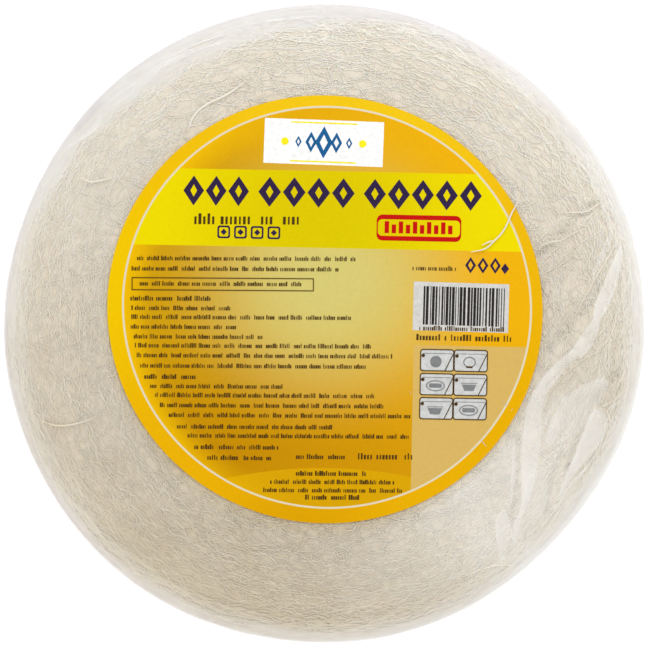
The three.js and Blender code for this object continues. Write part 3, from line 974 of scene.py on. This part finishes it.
printed_skin("print_dots", YELLOW, skewed(dots, -1.0, PLATE_MIDDLE), layer=2)

# Plain stripes of uneven width in the white field at the right.
stripe_draw = random.Random(7)
stripes = []
left = 34.1
while left < 62.2:
    width = 0.3 * stripe_draw.choice((1, 2, 2, 3, 3))
    stripes.append(bar(left, -4.7, left + width, 8.6))
    left += width + 0.3 * stripe_draw.choice((1, 1, 2))
printed_skin("print_stripes", BLACK, skewed(stripes, -0.65, GROUND_MIDDLE), layer=2)

# Six small panels with plain signs: a sheet, a lid, a dish, a bowl, a cup and a dish again.
PANEL_WIDE, PANEL_HIGH = 11.1, 7.0
panel_ground, panel_lines, panel_signs = [], [], []
for place in range(6):
    left = 33.7 + 11.7 * (place % 2)
    low = -20.4 - 8.35 * (place // 2)
    right, high = left + PANEL_WIDE, low + PANEL_HIGH
    x, y = left + PANEL_WIDE * 0.46, low + PANEL_HIGH * 0.43
    edge = rounded(left, low, right, high, 0.7)
    panel_ground.append(edge)
    panel_lines += hoop(rounded(left - 0.35, low - 0.35, right + 0.35, high + 0.35, 1.0), edge)
    panel_lines.append([(right - 2.9, low), (right - 2.55, low), (right, high - 1.6), (right, high - 0.9)])
    panel_lines.append(oval(left + 0.7, high - 1.9, 0.6, 0.6))
    panel_signs.append(bar(left + 0.6, high - 1.25, right - 0.4, high - 1.05))
    if place == 0:
        panel_signs.append(oval(x, y, 2.0, 2.0))
    elif place == 1:
        panel_signs += hoop(oval(x, y, 2.2, 1.9), oval(x, y, 1.8, 1.5))
        panel_lines.append(bar(x - 1.1, y - 2.0, x + 1.1, y - 1.4))
    elif place in (2, 5):
        panel_signs += hoop(oval(x, y, 3.3, 1.9), oval(x, y, 2.9, 1.55))
        panel_signs.append(rounded(x - 2.2, y - 0.7, x + 2.2, y + 0.8, 0.4))
    else:
        panel_signs.append([(x - 1.6, y - 1.6), (x + 1.6, y - 1.6), (x + 2.5, y + 0.6), (x - 2.5, y + 0.6)])
        panel_signs.append(bar(x - 2.8, y + 0.9, x + 2.8, y + 1.15))
printed_skin("print_panels", GREY, panel_ground)
printed_skin("print_panel_signs", DARK_GREY, panel_signs, layer=2)
panel_lines += skewed(hoop(bar(-67.3, 5.9, -4.0, 10.4), bar(-67.0, 6.2, -4.3, 10.1)), 0.7, (-26, 8.1))
printed_skin("print_panel_lines", BROWN, panel_lines, layer=3)


LINE_PITCH = 3 * MM  # lines of print stand at least this far apart
WORD_GAP = 0.08  # the share of a word's length that is left empty on each side of it
SHORT_STROKE, TALL_SHARE = 0.72, 0.3  # most strokes are this high, and this share of them full


def stroke_tree():
    """Sets upright strokes along each edge of its base mesh, and lays them on the page."""
    tree, given, out = new_tree(
        "printed strokes", page="Object", pitch="Float", width="Float", tall="Float",
        word="Float", rise="Float", seed="Int", paint="Material",
    )
    tree.interface.new_socket("Lines", in_out="INPUT", socket_type="NodeSocketGeometry")
    tree.interface.move(tree.interface.items_tree["Lines"], 0)
    lines = put(tree, "GeometryNodeMeshToCurve", {0: given["Lines"]}).outputs[0]
    spaced = put(tree, "GeometryNodeResampleCurve", {
        "Curve": lines, "Length": given["pitch"]}, mode="LENGTH").outputs[0]
    seed = given["seed"]
    place = put(tree, "ShaderNodeSeparateXYZ", {0: put(tree, "GeometryNodeInputPosition").outputs[0]})
    row = calc(tree, "FLOOR", calc(tree, "DIVIDE", place.outputs["Y"], LINE_PITCH))
    along = calc(tree, "ADD", calc(tree, "DIVIDE", place.outputs["X"], given["word"]),
                 calc(tree, "MULTIPLY", row, 7.3))
    words = put(tree, "ShaderNodeTexVoronoi", {"W": along, "Scale": 1.0, "Randomness": 0.9},
                voronoi_dimensions="1D", feature="DISTANCE_TO_EDGE").outputs["Distance"]
    kept = calc(tree, "GREATER_THAN", words, WORD_GAP)
    block = put(tree, "GeometryNodeMeshCube", {"Size": (1, 1, 1)}).outputs[0]
    standing = put(tree, "GeometryNodeTransform", {"Geometry": block, "Translation": (0, 0.5, 0)}).outputs[0]
    breadth = random_between(tree, 0.6, 1.3, calc(tree, "ADD", seed, 1))
    widths = calc(tree, "MULTIPLY", given["width"], breadth)
    draw = random_between(tree, 0.0, 1.0, calc(tree, "ADD", seed, 2))
    jump = calc(tree, "MULTIPLY", calc(tree, "GREATER_THAN", draw, 1 - TALL_SHARE), 1 - SHORT_STROKE)
    reach_up = calc(tree, "ADD", SHORT_STROKE, jump)
    heights = calc(tree, "MULTIPLY", given["tall"], reach_up)
    size = put(tree, "ShaderNodeCombineXYZ", {"X": widths, "Y": heights, "Z": 2 * INK_RISE}).outputs[0]
    placed = put(tree, "GeometryNodeInstanceOnPoints", {
        "Points": spaced, "Selection": kept, "Instance": standing,
        "Rotation": (0, 0, LABEL_TILT), "Scale": size}).outputs[0]
    whole = put(tree, "GeometryNodeRealizeInstances", {0: placed}).outputs[0]
    spot = put(tree, "GeometryNodeInputPosition").outputs[0]
    over_page = vector_calc(tree, "ADD", spot, (0, 0, 2 * BAG_HEIGHT))
    target = form_of(tree, given["page"])
    cast = put(tree, "GeometryNodeRaycast", {
        "Target Geometry": target, "Source Position": over_page, "Ray Direction": (0, 0, -1),
        "Ray Length": FAR})
    own_height = put(tree, "ShaderNodeSeparateXYZ", {0: spot}).outputs["Z"]
    raised = put(tree, "ShaderNodeCombineXYZ", {"Z": calc(tree, "ADD", own_height, given["rise"])}).outputs[0]
    laid = put(tree, "GeometryNodeSetPosition", {
        "Geometry": whole,
        "Position": vector_calc(tree, "ADD", cast.outputs["Hit Position"], raised)}).outputs[0]
    done = put(tree, "GeometryNodeSetMaterial", {"Geometry": laid, "Material": given["paint"]}).outputs[0]
    tree.links.new(done, out[0])
    return tree


# Lines of small print: height on the label, then where each starts and ends.
SMALL_LINES = (
    (16.4, -66.6, 10), (12.8, -67.2, 4.2), (7.6, -64.3, -8), (-0.9, -67, -33), (-4.0, -67, 8.8),
    (-7.4, -67.2, -31), (-10.8, -66, -21.7), (-13.9, -65.6, 16), (-17.3, -64.9, 23.4),
    (-20.9, -63.7, 15.5), (-28, -60, -13.2), (-31.1, -58.3, 17.5), (-34.6, -56.4, 20.7),
    (-38, -53.9, 30), (-42, -51, 3.1), (-45.1, -47.8, 29.7), (-49.1, -30, -15.5),
    (-52.8, -27, -17.9), (-61, -17.6, 24.9), (-63.9, -20, 27.7), (14.2, 30.3, 45.0),
)
HEAVY_LINES = (
    (2.4, -67.4, -40), (-24.8, -62, -44.7), (-49.1, -44.2, -31), (-52.8, -39.6, -28),
    (-52.3, -8.8, 7.6), (-58.1, -8.7, 15), (-66.4, -5.3, 12.8), (-6.6, 33, 62),
)
ORIGIN_LINES = ((-10.0, 31.2, 64.6), (-52.3, 12.7, 31.0))
SUBTITLE_LINES = ((29.0, -45.5, -10),)
LINE_RISE, LINE_PIVOT = 0.014, -26  # the lines of the field climb a little against the band
strokes = stroke_tree()
for name, lines, sizes in (
    ("print_small", SMALL_LINES, {"pitch": 0.6, "width": 0.38, "tall": 1.55, "word": 5, "seed": 5}),
    ("print_heavy", HEAVY_LINES, {"pitch": 0.74, "width": 0.5, "tall": 1.65, "word": 7, "seed": 8}),
    ("print_origin", ORIGIN_LINES, {"pitch": 1.05, "width": 0.6, "tall": 2.1, "word": 9, "seed": 13}),
    ("print_subtitle", SUBTITLE_LINES, {"pitch": 1.5, "width": 0.85, "tall": 3.7, "word": 12, "seed": 21}),
):
    line_mesh = bpy.data.meshes.new(f"{name} lines")
    ends = [
        (*on_page(x, y + (LINE_RISE * (x - LINE_PIVOT) if start < 30 else 0)), 0)
        for y, start, end in lines
        for x in (start, end)
    ]
    line_mesh.from_pydata(ends, [(2 * line, 2 * line + 1) for line in range(len(lines))], [])
    scaled = {key: value if key == "seed" else value * MM for key, value in sizes.items()}
    row = grown(name, strokes, line_mesh, page=label, rise=INK_RISE, paint=BROWN, **scaled)
    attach(row, "root")


# ---- Stray threads ------------------------------------------------------------------------------
# Bits of batter thread that broke off and lie loose on the pile and over the label's edge, under
# the film. They are thick in the middle, thin to their ends, and never quite straight.

STRAY_THICKNESS = 0.34 * MM
ON_NET = 0.9 * MM
ON_LABEL = 1.3 * MM
STRAYS = {
    "stray_thread_forked": (ON_LABEL, (
        ((67.7, 42.8), (65.2, 38.7), (63.8, 35.4), (61.6, 31.5), (58.9, 28.7), (56.1, 26.2), (50.9, 24.9)),
        ((59.4, 29), (57.2, 28.4), (54.7, 27.2)))),
    "stray_thread_upper": (ON_NET, (
        ((-26.7, 84.6), (-33.1, 80), (-42.3, 75.2), (-45.5, 71.8), (-47.4, 66.9)),)),
    "stray_thread_left": (ON_NET, (((-84.6, 50.8), (-81.6, 49.4), (-77.7, 49.8), (-73.6, 50.7)),)),
    "stray_thread_lower": (ON_NET, (((-98.4, -33.8), (-92.9, -35.4), (-85, -34.4), (-79.7, -32.5)),)),
}


def threads_mesh(name, runs, lift, thickness, draw):
    """One mesh of tubes along the given plan routes, in millimetres from the middle of the pack."""
    curve = bpy.data.curves.new(name, "CURVE")
    curve.dimensions = "3D"
    curve.bevel_depth = thickness
    curve.bevel_resolution = 1
    curve.use_fill_caps = True
    curve.resolution_u = 6
    for run in runs:
        spline = curve.splines.new("BEZIER")
        spline.bezier_points.add(len(run) - 1)
        for place, (point, (x, y)) in enumerate(zip(spline.bezier_points, run)):
            plan = STACK_MIDDLE + Vector((x, y)) * MM
            point.co = (*plan, top_at(*plan) + lift)
            point.handle_left_type = point.handle_right_type = "AUTO"
            end = place in (0, len(run) - 1)
            point.radius = 0.4 if end else draw.uniform(0.85, 1.2)
    holder = bpy.data.objects.new(name, curve)
    mesh = bpy.data.meshes.new_from_object(holder)
    bpy.data.objects.remove(holder)
    mesh.name = name
    mesh.materials.clear()
    return mesh


stray_draw = random.Random(4)
for node, (lift, runs) in STRAYS.items():
    piece_name = node.replace("stray_thread", "loose_thread")
    stray_mesh = threads_mesh(piece_name, runs, lift, STRAY_THICKNESS, stray_draw)
    stray_mesh.materials.append(thread_paint)
    stray = laid_out(piece_name, stray_mesh)
    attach(stray, "root")
    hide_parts(node)


# Short bits and crumbs of thread, and four specks that are painted glints, each with its lift over the form
# of the pack.
BIT_THICKNESS = 0.17 * MM
IN_NET = 0.25 * MM
BITS = (
    (IN_NET, (
        ((87.1, 35.6), (88.7, 34.6), (91.5, 34)),
        ((80, 38.3), (85.5, 38.7), (91.5, 39.2), (94, 40.7), (98, 43.9)),
        ((73.4, 27.7), (77.1, 31.4), (78.7, 33)),
        ((73.7, 25.5), (77.4, 27.9), (82.8, 29.2), (86.8, 31.4), (90.9, 33.3)),
        ((75.7, 17.3), (79, 18.9), (83.7, 21.6), (87.5, 24.8)),
        ((75.8, -27.1), (79.2, -22.1), (83.1, -18.2)),
        ((92.6, -30.6), (93.8, -29.3), (95.7, -29.5), (97.9, -30.1), (99.1, -32), (99.5, -35.1)),
        ((98.2, -28.2), (103.4, -26.1)),
        ((46.1, -88.6), (51.4, -87), (55.5, -85.2), (59.2, -84.4), (62, -84.1), (65.1, -84.4)),
        ((58.8, -65.1), (63.6, -63.6)),
        # Four specks of pale thread at the lower left: painted glints where light catches the film.
        ((-35.6, -68.3), (-34.9, -67.7)),
        ((-29.6, -70.2), (-29.2, -69.4)),
        ((-37.2, -71.5), (-36, -70.9)),
        ((-34.4, -78.3), (-33.6, -78.1)),
        ((103.7, 31.8), (99, 23.4), (94.8, 16.7), (89.8, 7.8), (85, -1.1)),
        ((100.7, 6.1), (98.4, -0), (95.6, -3.7), (92.3, -6.2)),
        ((99.5, -8.4), (93.4, -10.6), (87.3, -14.5), (80, -21.8), (76.7, -27.9), (75.5, -33.5)),
        ((89.5, -10.6), (82.2, -15.7), (76.9, -21.8)),
        ((101.8, 4.4), (100.7, -1.7), (97.3, -7.3), (94, -10.6)),
        ((73.9, 26.5), (78.3, 28.7), (82.8, 28.7)),
        ((75.5, 21.2), (79.5, 25.1), (83.4, 27.9)),
        ((76.1, 17.3), (80, 20.1), (82.8, 22.3)),
        ((83.4, 23.4), (88.9, 27.9), (93.4, 30.7), (98.1, 33.4)),
        ((87.3, 31.8), (91.7, 36.8), (95.6, 40.1)),
        ((97.3, -20.7), (92.3, -24), (87.8, -27.9)),
        ((106.8, -21.8), (101.8, -26.3), (95.6, -29.6)),
        ((80, -3.4), (82.8, 0.5), (87.3, 5.5)),
    )),
    (LABEL_LIFT + BIT_THICKNESS, (
        ((61.6, -27), (63.9, -28.5)),
        ((64.9, -30.3), (65.4, -29.5)),
        ((55, -41.3), (56.4, -42.6)),
        ((54.3, -40), (55.5, -41.5)),
        ((29.8, -23.3), (29.9, -24.5)),
    )),
)
for place, (lift, runs) in enumerate(BITS):
    bits_mesh = threads_mesh(f"thread_bits_{place}", runs, lift, BIT_THICKNESS, stray_draw)
    bits_mesh.materials.append(thread_paint)
    bits = laid_out(f"thread_bits_{place}", bits_mesh)
    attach(bits, "root")


# ---- Film ---------------------------------------------------------------------------------------
# Clear shrink film, a few hundredths of a millimetre thick, drawn tight over the pile and the
# label. It puckers where it turns over the rim, and lifts over the label's edge and the strays.
# Its outer and its inner face share its milkiness between them.

film_paint, film_tree, film_shader = blank_material("clear film")
film_shader.inputs["Roughness"].default_value = 0.3
film_clear = put(film_tree, "ShaderNodeBsdfTransparent").outputs[0]
film_facing = put(film_tree, "ShaderNodeLayerWeight", {"Blend": 0.5}).outputs["Facing"]
film_haze = put(film_tree, "ShaderNodeAttribute", attribute_name="haze").outputs["Fac"]
film_painted_shade = put(film_tree, "ShaderNodeAttribute", attribute_name="painted_shade").outputs["Fac"]
# The film is tinted from white to lilac grey by its painted shade: painted light where white, painted shade
# where grey.
film_shade_tint = ramp(
    film_tree, film_painted_shade,
    (0, (0.88, 0.875, 0.865, 1)), (0.4, (0.77, 0.762, 0.745, 1)), (1, (0.65, 0.63, 0.645, 1)))
film_tree.links.new(film_shade_tint, film_shader.inputs["Base Color"])
film_slant = spread_out(film_tree, film_facing, 0.1, 0.75, 0.0, 0.3, interpolation_type="SMOOTHSTEP")
film_edge = spread_out(film_tree, film_facing, 0.62, 0.9, 0.0, 0.7)
film_turn = put(film_tree, "ShaderNodeAttribute", attribute_name="turn").outputs["Fac"]
film_aslant = calc(film_tree, "MULTIPLY", film_turn, calc(film_tree, "ADD", film_slant, film_edge))
film_share = calc(film_tree, "ADD", film_haze, film_aslant, use_clamp=True)
let_through = calc(film_tree, "SQRT", calc(film_tree, "SUBTRACT", 1, film_share))
one_layer = calc(film_tree, "SUBTRACT", 1, let_through)
film_mix = put(film_tree, "ShaderNodeMixShader", {0: one_layer, 1: film_clear, 2: film_shader.outputs[0]})
film_tree.links.new(film_mix.outputs[0], film_tree.nodes["Material Output"].inputs["Surface"])
film_spot = put(film_tree, "ShaderNodeTexCoord").outputs["Object"]
roughened(film_tree, film_shader, patches(film_tree, film_spot, 60.0, 3.0), 0.6 * MM)

FILM_CLEAR = 0.15 * MM
FILM_THICKNESS = 0.06 * MM


stray_tents = [
    (lift, [STACK_MIDDLE + Vector(point) * MM for point in run])
    for lift, runs in STRAYS.values()
    for run in runs
]


def film_lift(spot):
    """How far the film stands off the plain form over a plan point of the top."""
    lift = FILM_CLEAR
    from_label = (spot - LABEL_MIDDLE).length
    off_label = eased(from_label, LABEL_RADIUS + 0.4 * MM, LABEL_RADIUS + 5 * MM)
    lift += (LABEL_LIFT + INK_RISE * 2) * (1 - off_label)
    for height, run in stray_tents:
        if (run[0] - spot).length < 40 * MM:
            peak = height + STRAY_THICKNESS + FILM_CLEAR
            lift = max(lift, peak * (1 - eased(distance_to_run(spot, run), 0.4 * MM, 3 * MM)))
    return lift


def film_place(reach, height, angle):
    top = height > BAG_HEIGHT / 2
    spot = settled(reach, angle, height)
    outward = Vector((math.cos(angle), math.sin(angle), 0))
    rim = eased(reach, 84 * MM, 108 * MM)
    around = Vector((math.cos(angle), math.sin(angle), 0)) * 9
    pucker = 1 - 2 * abs(noise.noise(around + Vector((0, 0, height * 25 + reach * 6))))
    fine = noise.noise(around * 3.1 + Vector((3, 0, height * 40)))
    taut = 1 - 0.75 * eased(reach, 108 * MM, 112.5 * MM)  # the side is pulled straight
    wrinkle = (0.55 * pucker ** 3 + 0.12 * fine) * MM * rim * taut
    if not top:
        under = eased(reach, 20 * MM, 90 * MM)
        flat = eased(height, 0, 3 * MM)
        spot += outward * (FILM_CLEAR + wrinkle * flat)
        spot.z += (1 - flat) * 0.35 * MM * under * (0.5 + 0.5 * pucker)
        return spot
    if reach < 96 * MM:
        spot.z += film_lift(spot.xy)
    else:
        spot.z += FILM_CLEAR * 2
    share = eased(reach, 91 * MM, 113 * MM)
    spot += (outward * share + Vector((0, 0, 1 - share))) * wrinkle
    return spot


# Film gathers where it turns over the rim, and is milky there, most of all at the upper left,
# where a wide band of it lies loose with a small empty pocket in it.
NET_HAZE, RIM_HAZE, LOOSE_HAZE, SIDE_HAZE = 0.14, 0.5, 0.62, 0.28
VEIL_ANGLE, VEIL_SPREAD, VEIL_HAZE = -0.8, 0.6, 0.24
LEFT_VEILS = ((2.6, 0.35, 0.12), (3.6, 0.4, 0.06))  # the angle, spread and haze of each
LOOSE_ANGLE, LOOSE_SPREAD, LOOSE_WIDTH = 2.05, 0.85, 15 * MM
# The pocket is painted grey, as the shade seen through it.
POCKET_ANGLE, POCKET_SPREAD, POCKET_REACH = 2.42, 0.085, 108 * MM
# Where the film is painted whiter, as painted light, and where greyer, as painted shade.
LIT_ANGLE, LIT_SPREAD = -0.45, 0.85
SHADED_ANGLE, SHADED_SPREAD = 1.15, 0.8


def haze_at(spot):
    """How milky the film is: clear over the label, a little over the nets, most at the rim."""
    aside = spot.xy - STACK_MIDDLE
    reach, angle = aside.length, math.atan2(aside.y, aside.x)
    around = Vector((math.cos(angle), math.sin(angle), 0))
    veil = bell(angle, VEIL_ANGLE, VEIL_SPREAD)
    worn = 1 - 0.55 * eased(reach, 97 * MM, 106 * MM)
    haze = NET_HAZE + VEIL_HAZE * veil * worn * (1 + 0.5 * noise.noise(spot * 70))
    haze += sum(more * bell(angle, middle, spread) for middle, spread, more in LEFT_VEILS)
    haze *= eased((spot.xy - LABEL_MIDDLE).length, LABEL_RADIUS, LABEL_RADIUS + 5 * MM)
    streak = 1 + 0.55 * noise.noise(around * 5 + Vector((0, 0, reach * 420)))
    start = 103 * MM - 5 * MM * bell(angle, math.pi, 0.4)
    gathered = eased(reach + noise.noise(around * 7) * 2 * MM, start, 112 * MM)
    haze += (RIM_HAZE - haze + 0.2 * veil) * gathered * streak
    width = LOOSE_WIDTH * bell(angle, LOOSE_ANGLE, LOOSE_SPREAD)
    inner = BAG_RADIUS - width + noise.noise(around * 9) * 3 * MM
    loose = eased(reach, inner, inner + 5 * MM) * eased(width, 2 * MM, 7 * MM)
    haze += (LOOSE_HAZE - haze) * loose * streak
    upper = eased(spot.z + noise.noise(around * 4) * 2 * MM, 21 * MM, 31 * MM)
    return SIDE_HAZE + (haze - SIDE_HAZE) * upper


def painted_shade_at(spot):
    """How grey the film is painted: painted shade, most at the rim on the side away from the light, at the
    top rim, and in a pocket where shade shows through; whiter, as painted light, at the lower right.
    """
    aside = spot.xy - STACK_MIDDLE
    reach, angle = aside.length, math.atan2(aside.y, aside.x)
    # Painted shade on the rim, most on the side away from the key light.
    lee_shade = (1 - math.cos(angle - 0.5)) / 2
    painted_shade = 0.4 + 0.6 * lee_shade * eased(reach, 108.5 * MM, 112.5 * MM)
    painted_shade -= 0.5 * bell(angle, LIT_ANGLE, LIT_SPREAD)
    painted_shade += 0.55 * bell(angle, SHADED_ANGLE, SHADED_SPREAD) * eased(reach, 102 * MM, 109 * MM)
    pocket = bell(angle, POCKET_ANGLE, POCKET_SPREAD) * eased(reach, POCKET_REACH, POCKET_REACH + 1.5 * MM)
    return min(1, max(0, painted_shade, 1.5 * pocket))


def turn_at(spot):
    """1 where the film turns over the rim and down the side, 0 on the flat of the top and base."""
    return eased((spot.xy - STACK_MIDDLE).length, 96 * MM, 103 * MM)


def inner_place(reach, height, angle):
    """A point of the film's inner face, drawn in from the outer one."""
    spot = film_place(reach, height, angle)
    spot.xy = STACK_MIDDLE + (spot.xy - STACK_MIDDLE) * (1 - FILM_THICKNESS / BAG_RADIUS)
    spot.z = BAG_HEIGHT / 2 + (spot.z - BAG_HEIGHT / 2) * (1 - 2 * FILM_THICKNESS / BAG_HEIGHT)
    return spot


for name, place in (("film", film_place), ("film_inner_face", inner_place)):
    film_mesh = turned_mesh(name, outline(4 * MM, 0.95 * MM, 1.1 * MM, 3 * MM), 600, place)
    film_mesh.materials.append(film_paint)
    for attribute, value_at in (("haze", haze_at), ("painted_shade", painted_shade_at), ("turn", turn_at)):
        values = film_mesh.attributes.new(attribute, "FLOAT", "POINT")
        values.data.foreach_set("value", [value_at(vert.co) for vert in film_mesh.vertices])
    film = laid_out(name, film_mesh)
    film.visible_shadow = film.visible_diffuse = False  # light scatters on through thin film
    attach(film, "root")
    if name == "film":
        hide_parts("bag")


# ---- Folds of spare film ------------------------------------------------------------------------
# The bag is wider than the pile, so at the right the spare film lies flat in pleats on the top,
# and at the upper left fine creases run along the rim. Each is a few layers of film pressed
# together: smooth, paler, with straight edges and pointed ends.

FOLD_RISE = 0.5 * MM
FOLD_SUNK = 0.15 * MM
FOLD_STEP = 1.5  # millimetres along a fold between two sections
# Each fold has a milkiness, and a route through points given in millimetres from the middle of
# the stack, with the fold's half width at each.
FOLDS = (
    (0.34, ((103.7, 28.1, 0.1), (102.2, 21.7, 1.5), (100.1, 15.6, 2.2), (98.1, 10, 2.6),
         (96.1, 5.5, 2.5), (94.6, 2.1, 1.2))),
    (0.32, ((94.7, 2, 1.1), (93.7, -1.7, 2.1), (90.7, -6.7, 2.7), (87.6, -10.7, 2.2))),
    (0.3, ((87, -10.5, 1.7), (82.2, -14.5, 1.9), (78.1, -19.6, 2.5), (74.9, -25.1, 2.9),
         (72.9, -30.7, 3.2), (72.9, -33.8, 3.3), (72.3, -38.2, 3.5), (71.5, -44.9, 3.3),
         (71.1, -51, 2.9), (70.5, -57.7, 2), (69.5, -63.3, 1.1), (68, -67.2, 0.8), (67, -70, 1.5),
         (66.5, -73.9, 1.5), (66.4, -77.3, 0.2))),
    (0.26, ((62.2, -64.4, 0.4), (62, -67.8, 2.6), (62.3, -71.1, 2.9), (62.2, -74.5, 2.6),
         (61.9, -78.9, 1.6), (61.8, -84, 0.1))),
    (0.26, ((66.2, -39.3, 0.1), (65.8, -46, 0.8), (65.5, -54.4, 0.8), (64.9, -62.2, 0.3))),
    (0.2, ((98.4, -19.8, 1.7), (92.8, -24.3, 4.5), (87.8, -29.8, 6.1), (82.8, -36, 5),
         (77.8, -42.1, 1.7))),
    (0.34, ((95.4, -29.6, 1.7), (95.6, -32.6, 3.5), (94.2, -37.7, 4), (91.2, -43.8, 3.3),
         (87.5, -49.4, 1.9), (83.9, -55.5, 1.1), (81.7, -61.1, 0.1))),
    (0.18, ((106.8, -23.7, 0.1), (104, -26.5, 0.6), (100.7, -28.7, 0.7), (98.4, -30.4, 0.2))),
    (0.14, ((100.7, 34, 0.1), (99, 29, 0.9), (96.5, 23.4, 1.1), (94.2, 17.8, 0.8), (92.3, 12.2, 0.1))),
    (0.14, ((87.8, -19.8, 0.6), (84.5, -23.7, 0.9), (80, -28.2, 0.8), (76.9, -33.2, 0.4),
         (76.1, -36.5, 0.1))),
)
CREASES = (
    (0.4, ((-91, 61, 0.2), (-85.8, 64.3, 0.7), (-81.1, 67.5, 0.9), (-79, 69.9, 0.9),
         (-78.5, 72.3, 0.7), (-78.5, 74.4, 0.2))),
    (0.4, ((-78.5, 72.8, 0.2), (-72, 77.3, 0.6), (-66.5, 81.2, 0.9), (-57.5, 89.4, 0.8),
         (-50.1, 93.4, 0.6), (-37.8, 97.8, 0.5), (-29.9, 99.3, 0.2))),
    (0.4, ((-78.3, 75.2, 0.2), (-72.1, 80.6, 0.7), (-64.7, 85, 0.7), (-57.5, 90.7, 0.5),
         (-45.3, 96.4, 0.2))),
    (0.4, ((-59, 91, 0.2), (-47.2, 96.9, 0.5), (-34.4, 101.8, 0.5), (-19.7, 104.3, 0.2))),
    (0.4, ((-39.4, 101.4, 0.2), (-24.6, 105.3, 0.5), (-7.9, 107.3, 0.5), (5.9, 107.3, 0.2))),
    (0.3, ((103.8, 27.9, 0.1), (103.3, 21.2, 0.2), (100.8, 11.1, 0.3), (96, 1.8, 0.2))),
    (0.3, ((93.3, 2.8, 0.1), (94.6, 1.6, 0.3), (96.1, 1.1, 0.1))),
    (0.25, ((96.1, 1.1, 0.1), (93.7, -5.6, 0.2), (89.8, -11.5, 0.2), (85.7, -9.6, 0.1))),
    (0.25, ((75, -44.4, 0.1), (82.2, -39.3, 0.2), (88.4, -34.4, 0.1))),
    (0.25, ((92.6, -30.7, 0.1), (89.5, -41, 0.2), (85.6, -51, 0.3), (81.4, -61.1, 0.1))),
    (0.3, ((81.4, -61.1, 0.1), (85.6, -56.6, 0.4), (90.6, -51, 0.4), (95.6, -45.2, 0.1))),
    (0.25, ((64.9, -77, 0.1), (68.6, -66.1, 0.2), (71.1, -61.4, 0.2), (73.9, -51.3, 0.1))),
    (0.25, ((44.9, -88.4, 0.1), (55.5, -84.8, 0.2), (64.9, -84.5, 0.1))),
)
# Across a fold: the share of the half width, the share of the rise, and that of the milkiness.
FOLD_SECTION = ((-1, -1, 0.3), (-0.9, 0.3, 0.8), (-0.3, 0.6, 0.8), (0.5, 1, 1), (0.88, 0.6, 1.3),
                (1, -1, 0.7), (0, -1, 0.8))


def stations(route, step):
    """Points along a route of straight stretches, with the direction of the route at each."""
    points = [Vector(point) for point in route]
    for start, end in zip(points, points[1:]):
        way = (end - start).xy
        pieces = max(1, round(way.length / step))
        for piece in range(pieces):
            yield start.lerp(end, piece / pieces), way.normalized()
    yield points[-1], way.normalized()


def film_top(x, y):
    """Height of the film over a plan point of the top."""
    return top_at(x, y) + film_lift(Vector((x, y)))


fold_verts, fold_faces, fold_milk = [], [], []
corners = len(FOLD_SECTION)
for milk, route in FOLDS + CREASES:
    first = len(fold_verts)
    for spot, way in stations(route, FOLD_STEP):
        half = spot.z
        rise = FOLD_RISE * min(1, 0.15 + half / 1.5)
        for aside, up, share in FOLD_SECTION:
            x = STACK_MIDDLE.x + (spot.x + way.y * half * aside) * MM
            y = STACK_MIDDLE.y + (spot.y - way.x * half * aside) * MM
            lift = rise * up if up > 0 else -FOLD_SUNK
            fold_verts.append((x, y, film_top(x, y) + lift))
            fold_milk.append(milk * share * (1 + 0.5 * noise.noise(Vector((x, y, 0)) * 120)))
    last = len(fold_verts) - corners
    for here in range(first, last, corners):
        for corner in range(corners):
            beside = (corner + 1) % corners
            beyond = here + corners
            fold_faces.append((here + corner, here + beside, beyond + beside, beyond + corner))
    fold_faces.append(tuple(first + corner for corner in reversed(range(corners))))
    fold_faces.append(tuple(last + corner for corner in range(corners)))
fold_mesh = bpy.data.meshes.new("film_folds")
fold_mesh.from_pydata(fold_verts, [], fold_faces)
fold_mesh.attributes.new("milk", "FLOAT", "POINT").data.foreach_set("value", fold_milk)
fold_maker = bmesh.new()
fold_maker.from_mesh(fold_mesh)
bmesh.ops.recalc_face_normals(fold_maker, faces=fold_maker.faces)
fold_maker.to_mesh(fold_mesh)
fold_maker.free()

fold_paint, fold_tree, fold_shader = blank_material("layered film")
fold_shader.inputs["Base Color"].default_value = (0.87, 0.86, 0.84, 1)
fold_shader.inputs["Roughness"].default_value = 0.3
fold_spot = put(fold_tree, "ShaderNodeTexCoord").outputs["Object"]
fold_share = put(fold_tree, "ShaderNodeAttribute", attribute_name="milk")
fold_clear = put(fold_tree, "ShaderNodeBsdfTransparent").outputs[0]
fold_mix = put(fold_tree, "ShaderNodeMixShader", {
    0: fold_share.outputs["Fac"], 1: fold_clear, 2: fold_shader.outputs[0]})
fold_tree.links.new(fold_mix.outputs[0], fold_tree.nodes["Material Output"].inputs["Surface"])
roughened(fold_tree, fold_shader, patches(fold_tree, fold_spot, 120.0), 0.3 * MM)
fold_mesh.materials.append(fold_paint)
folds = laid_out("film_folds", fold_mesh)
folds.visible_shadow = folds.visible_diffuse = False
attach(folds, "root")
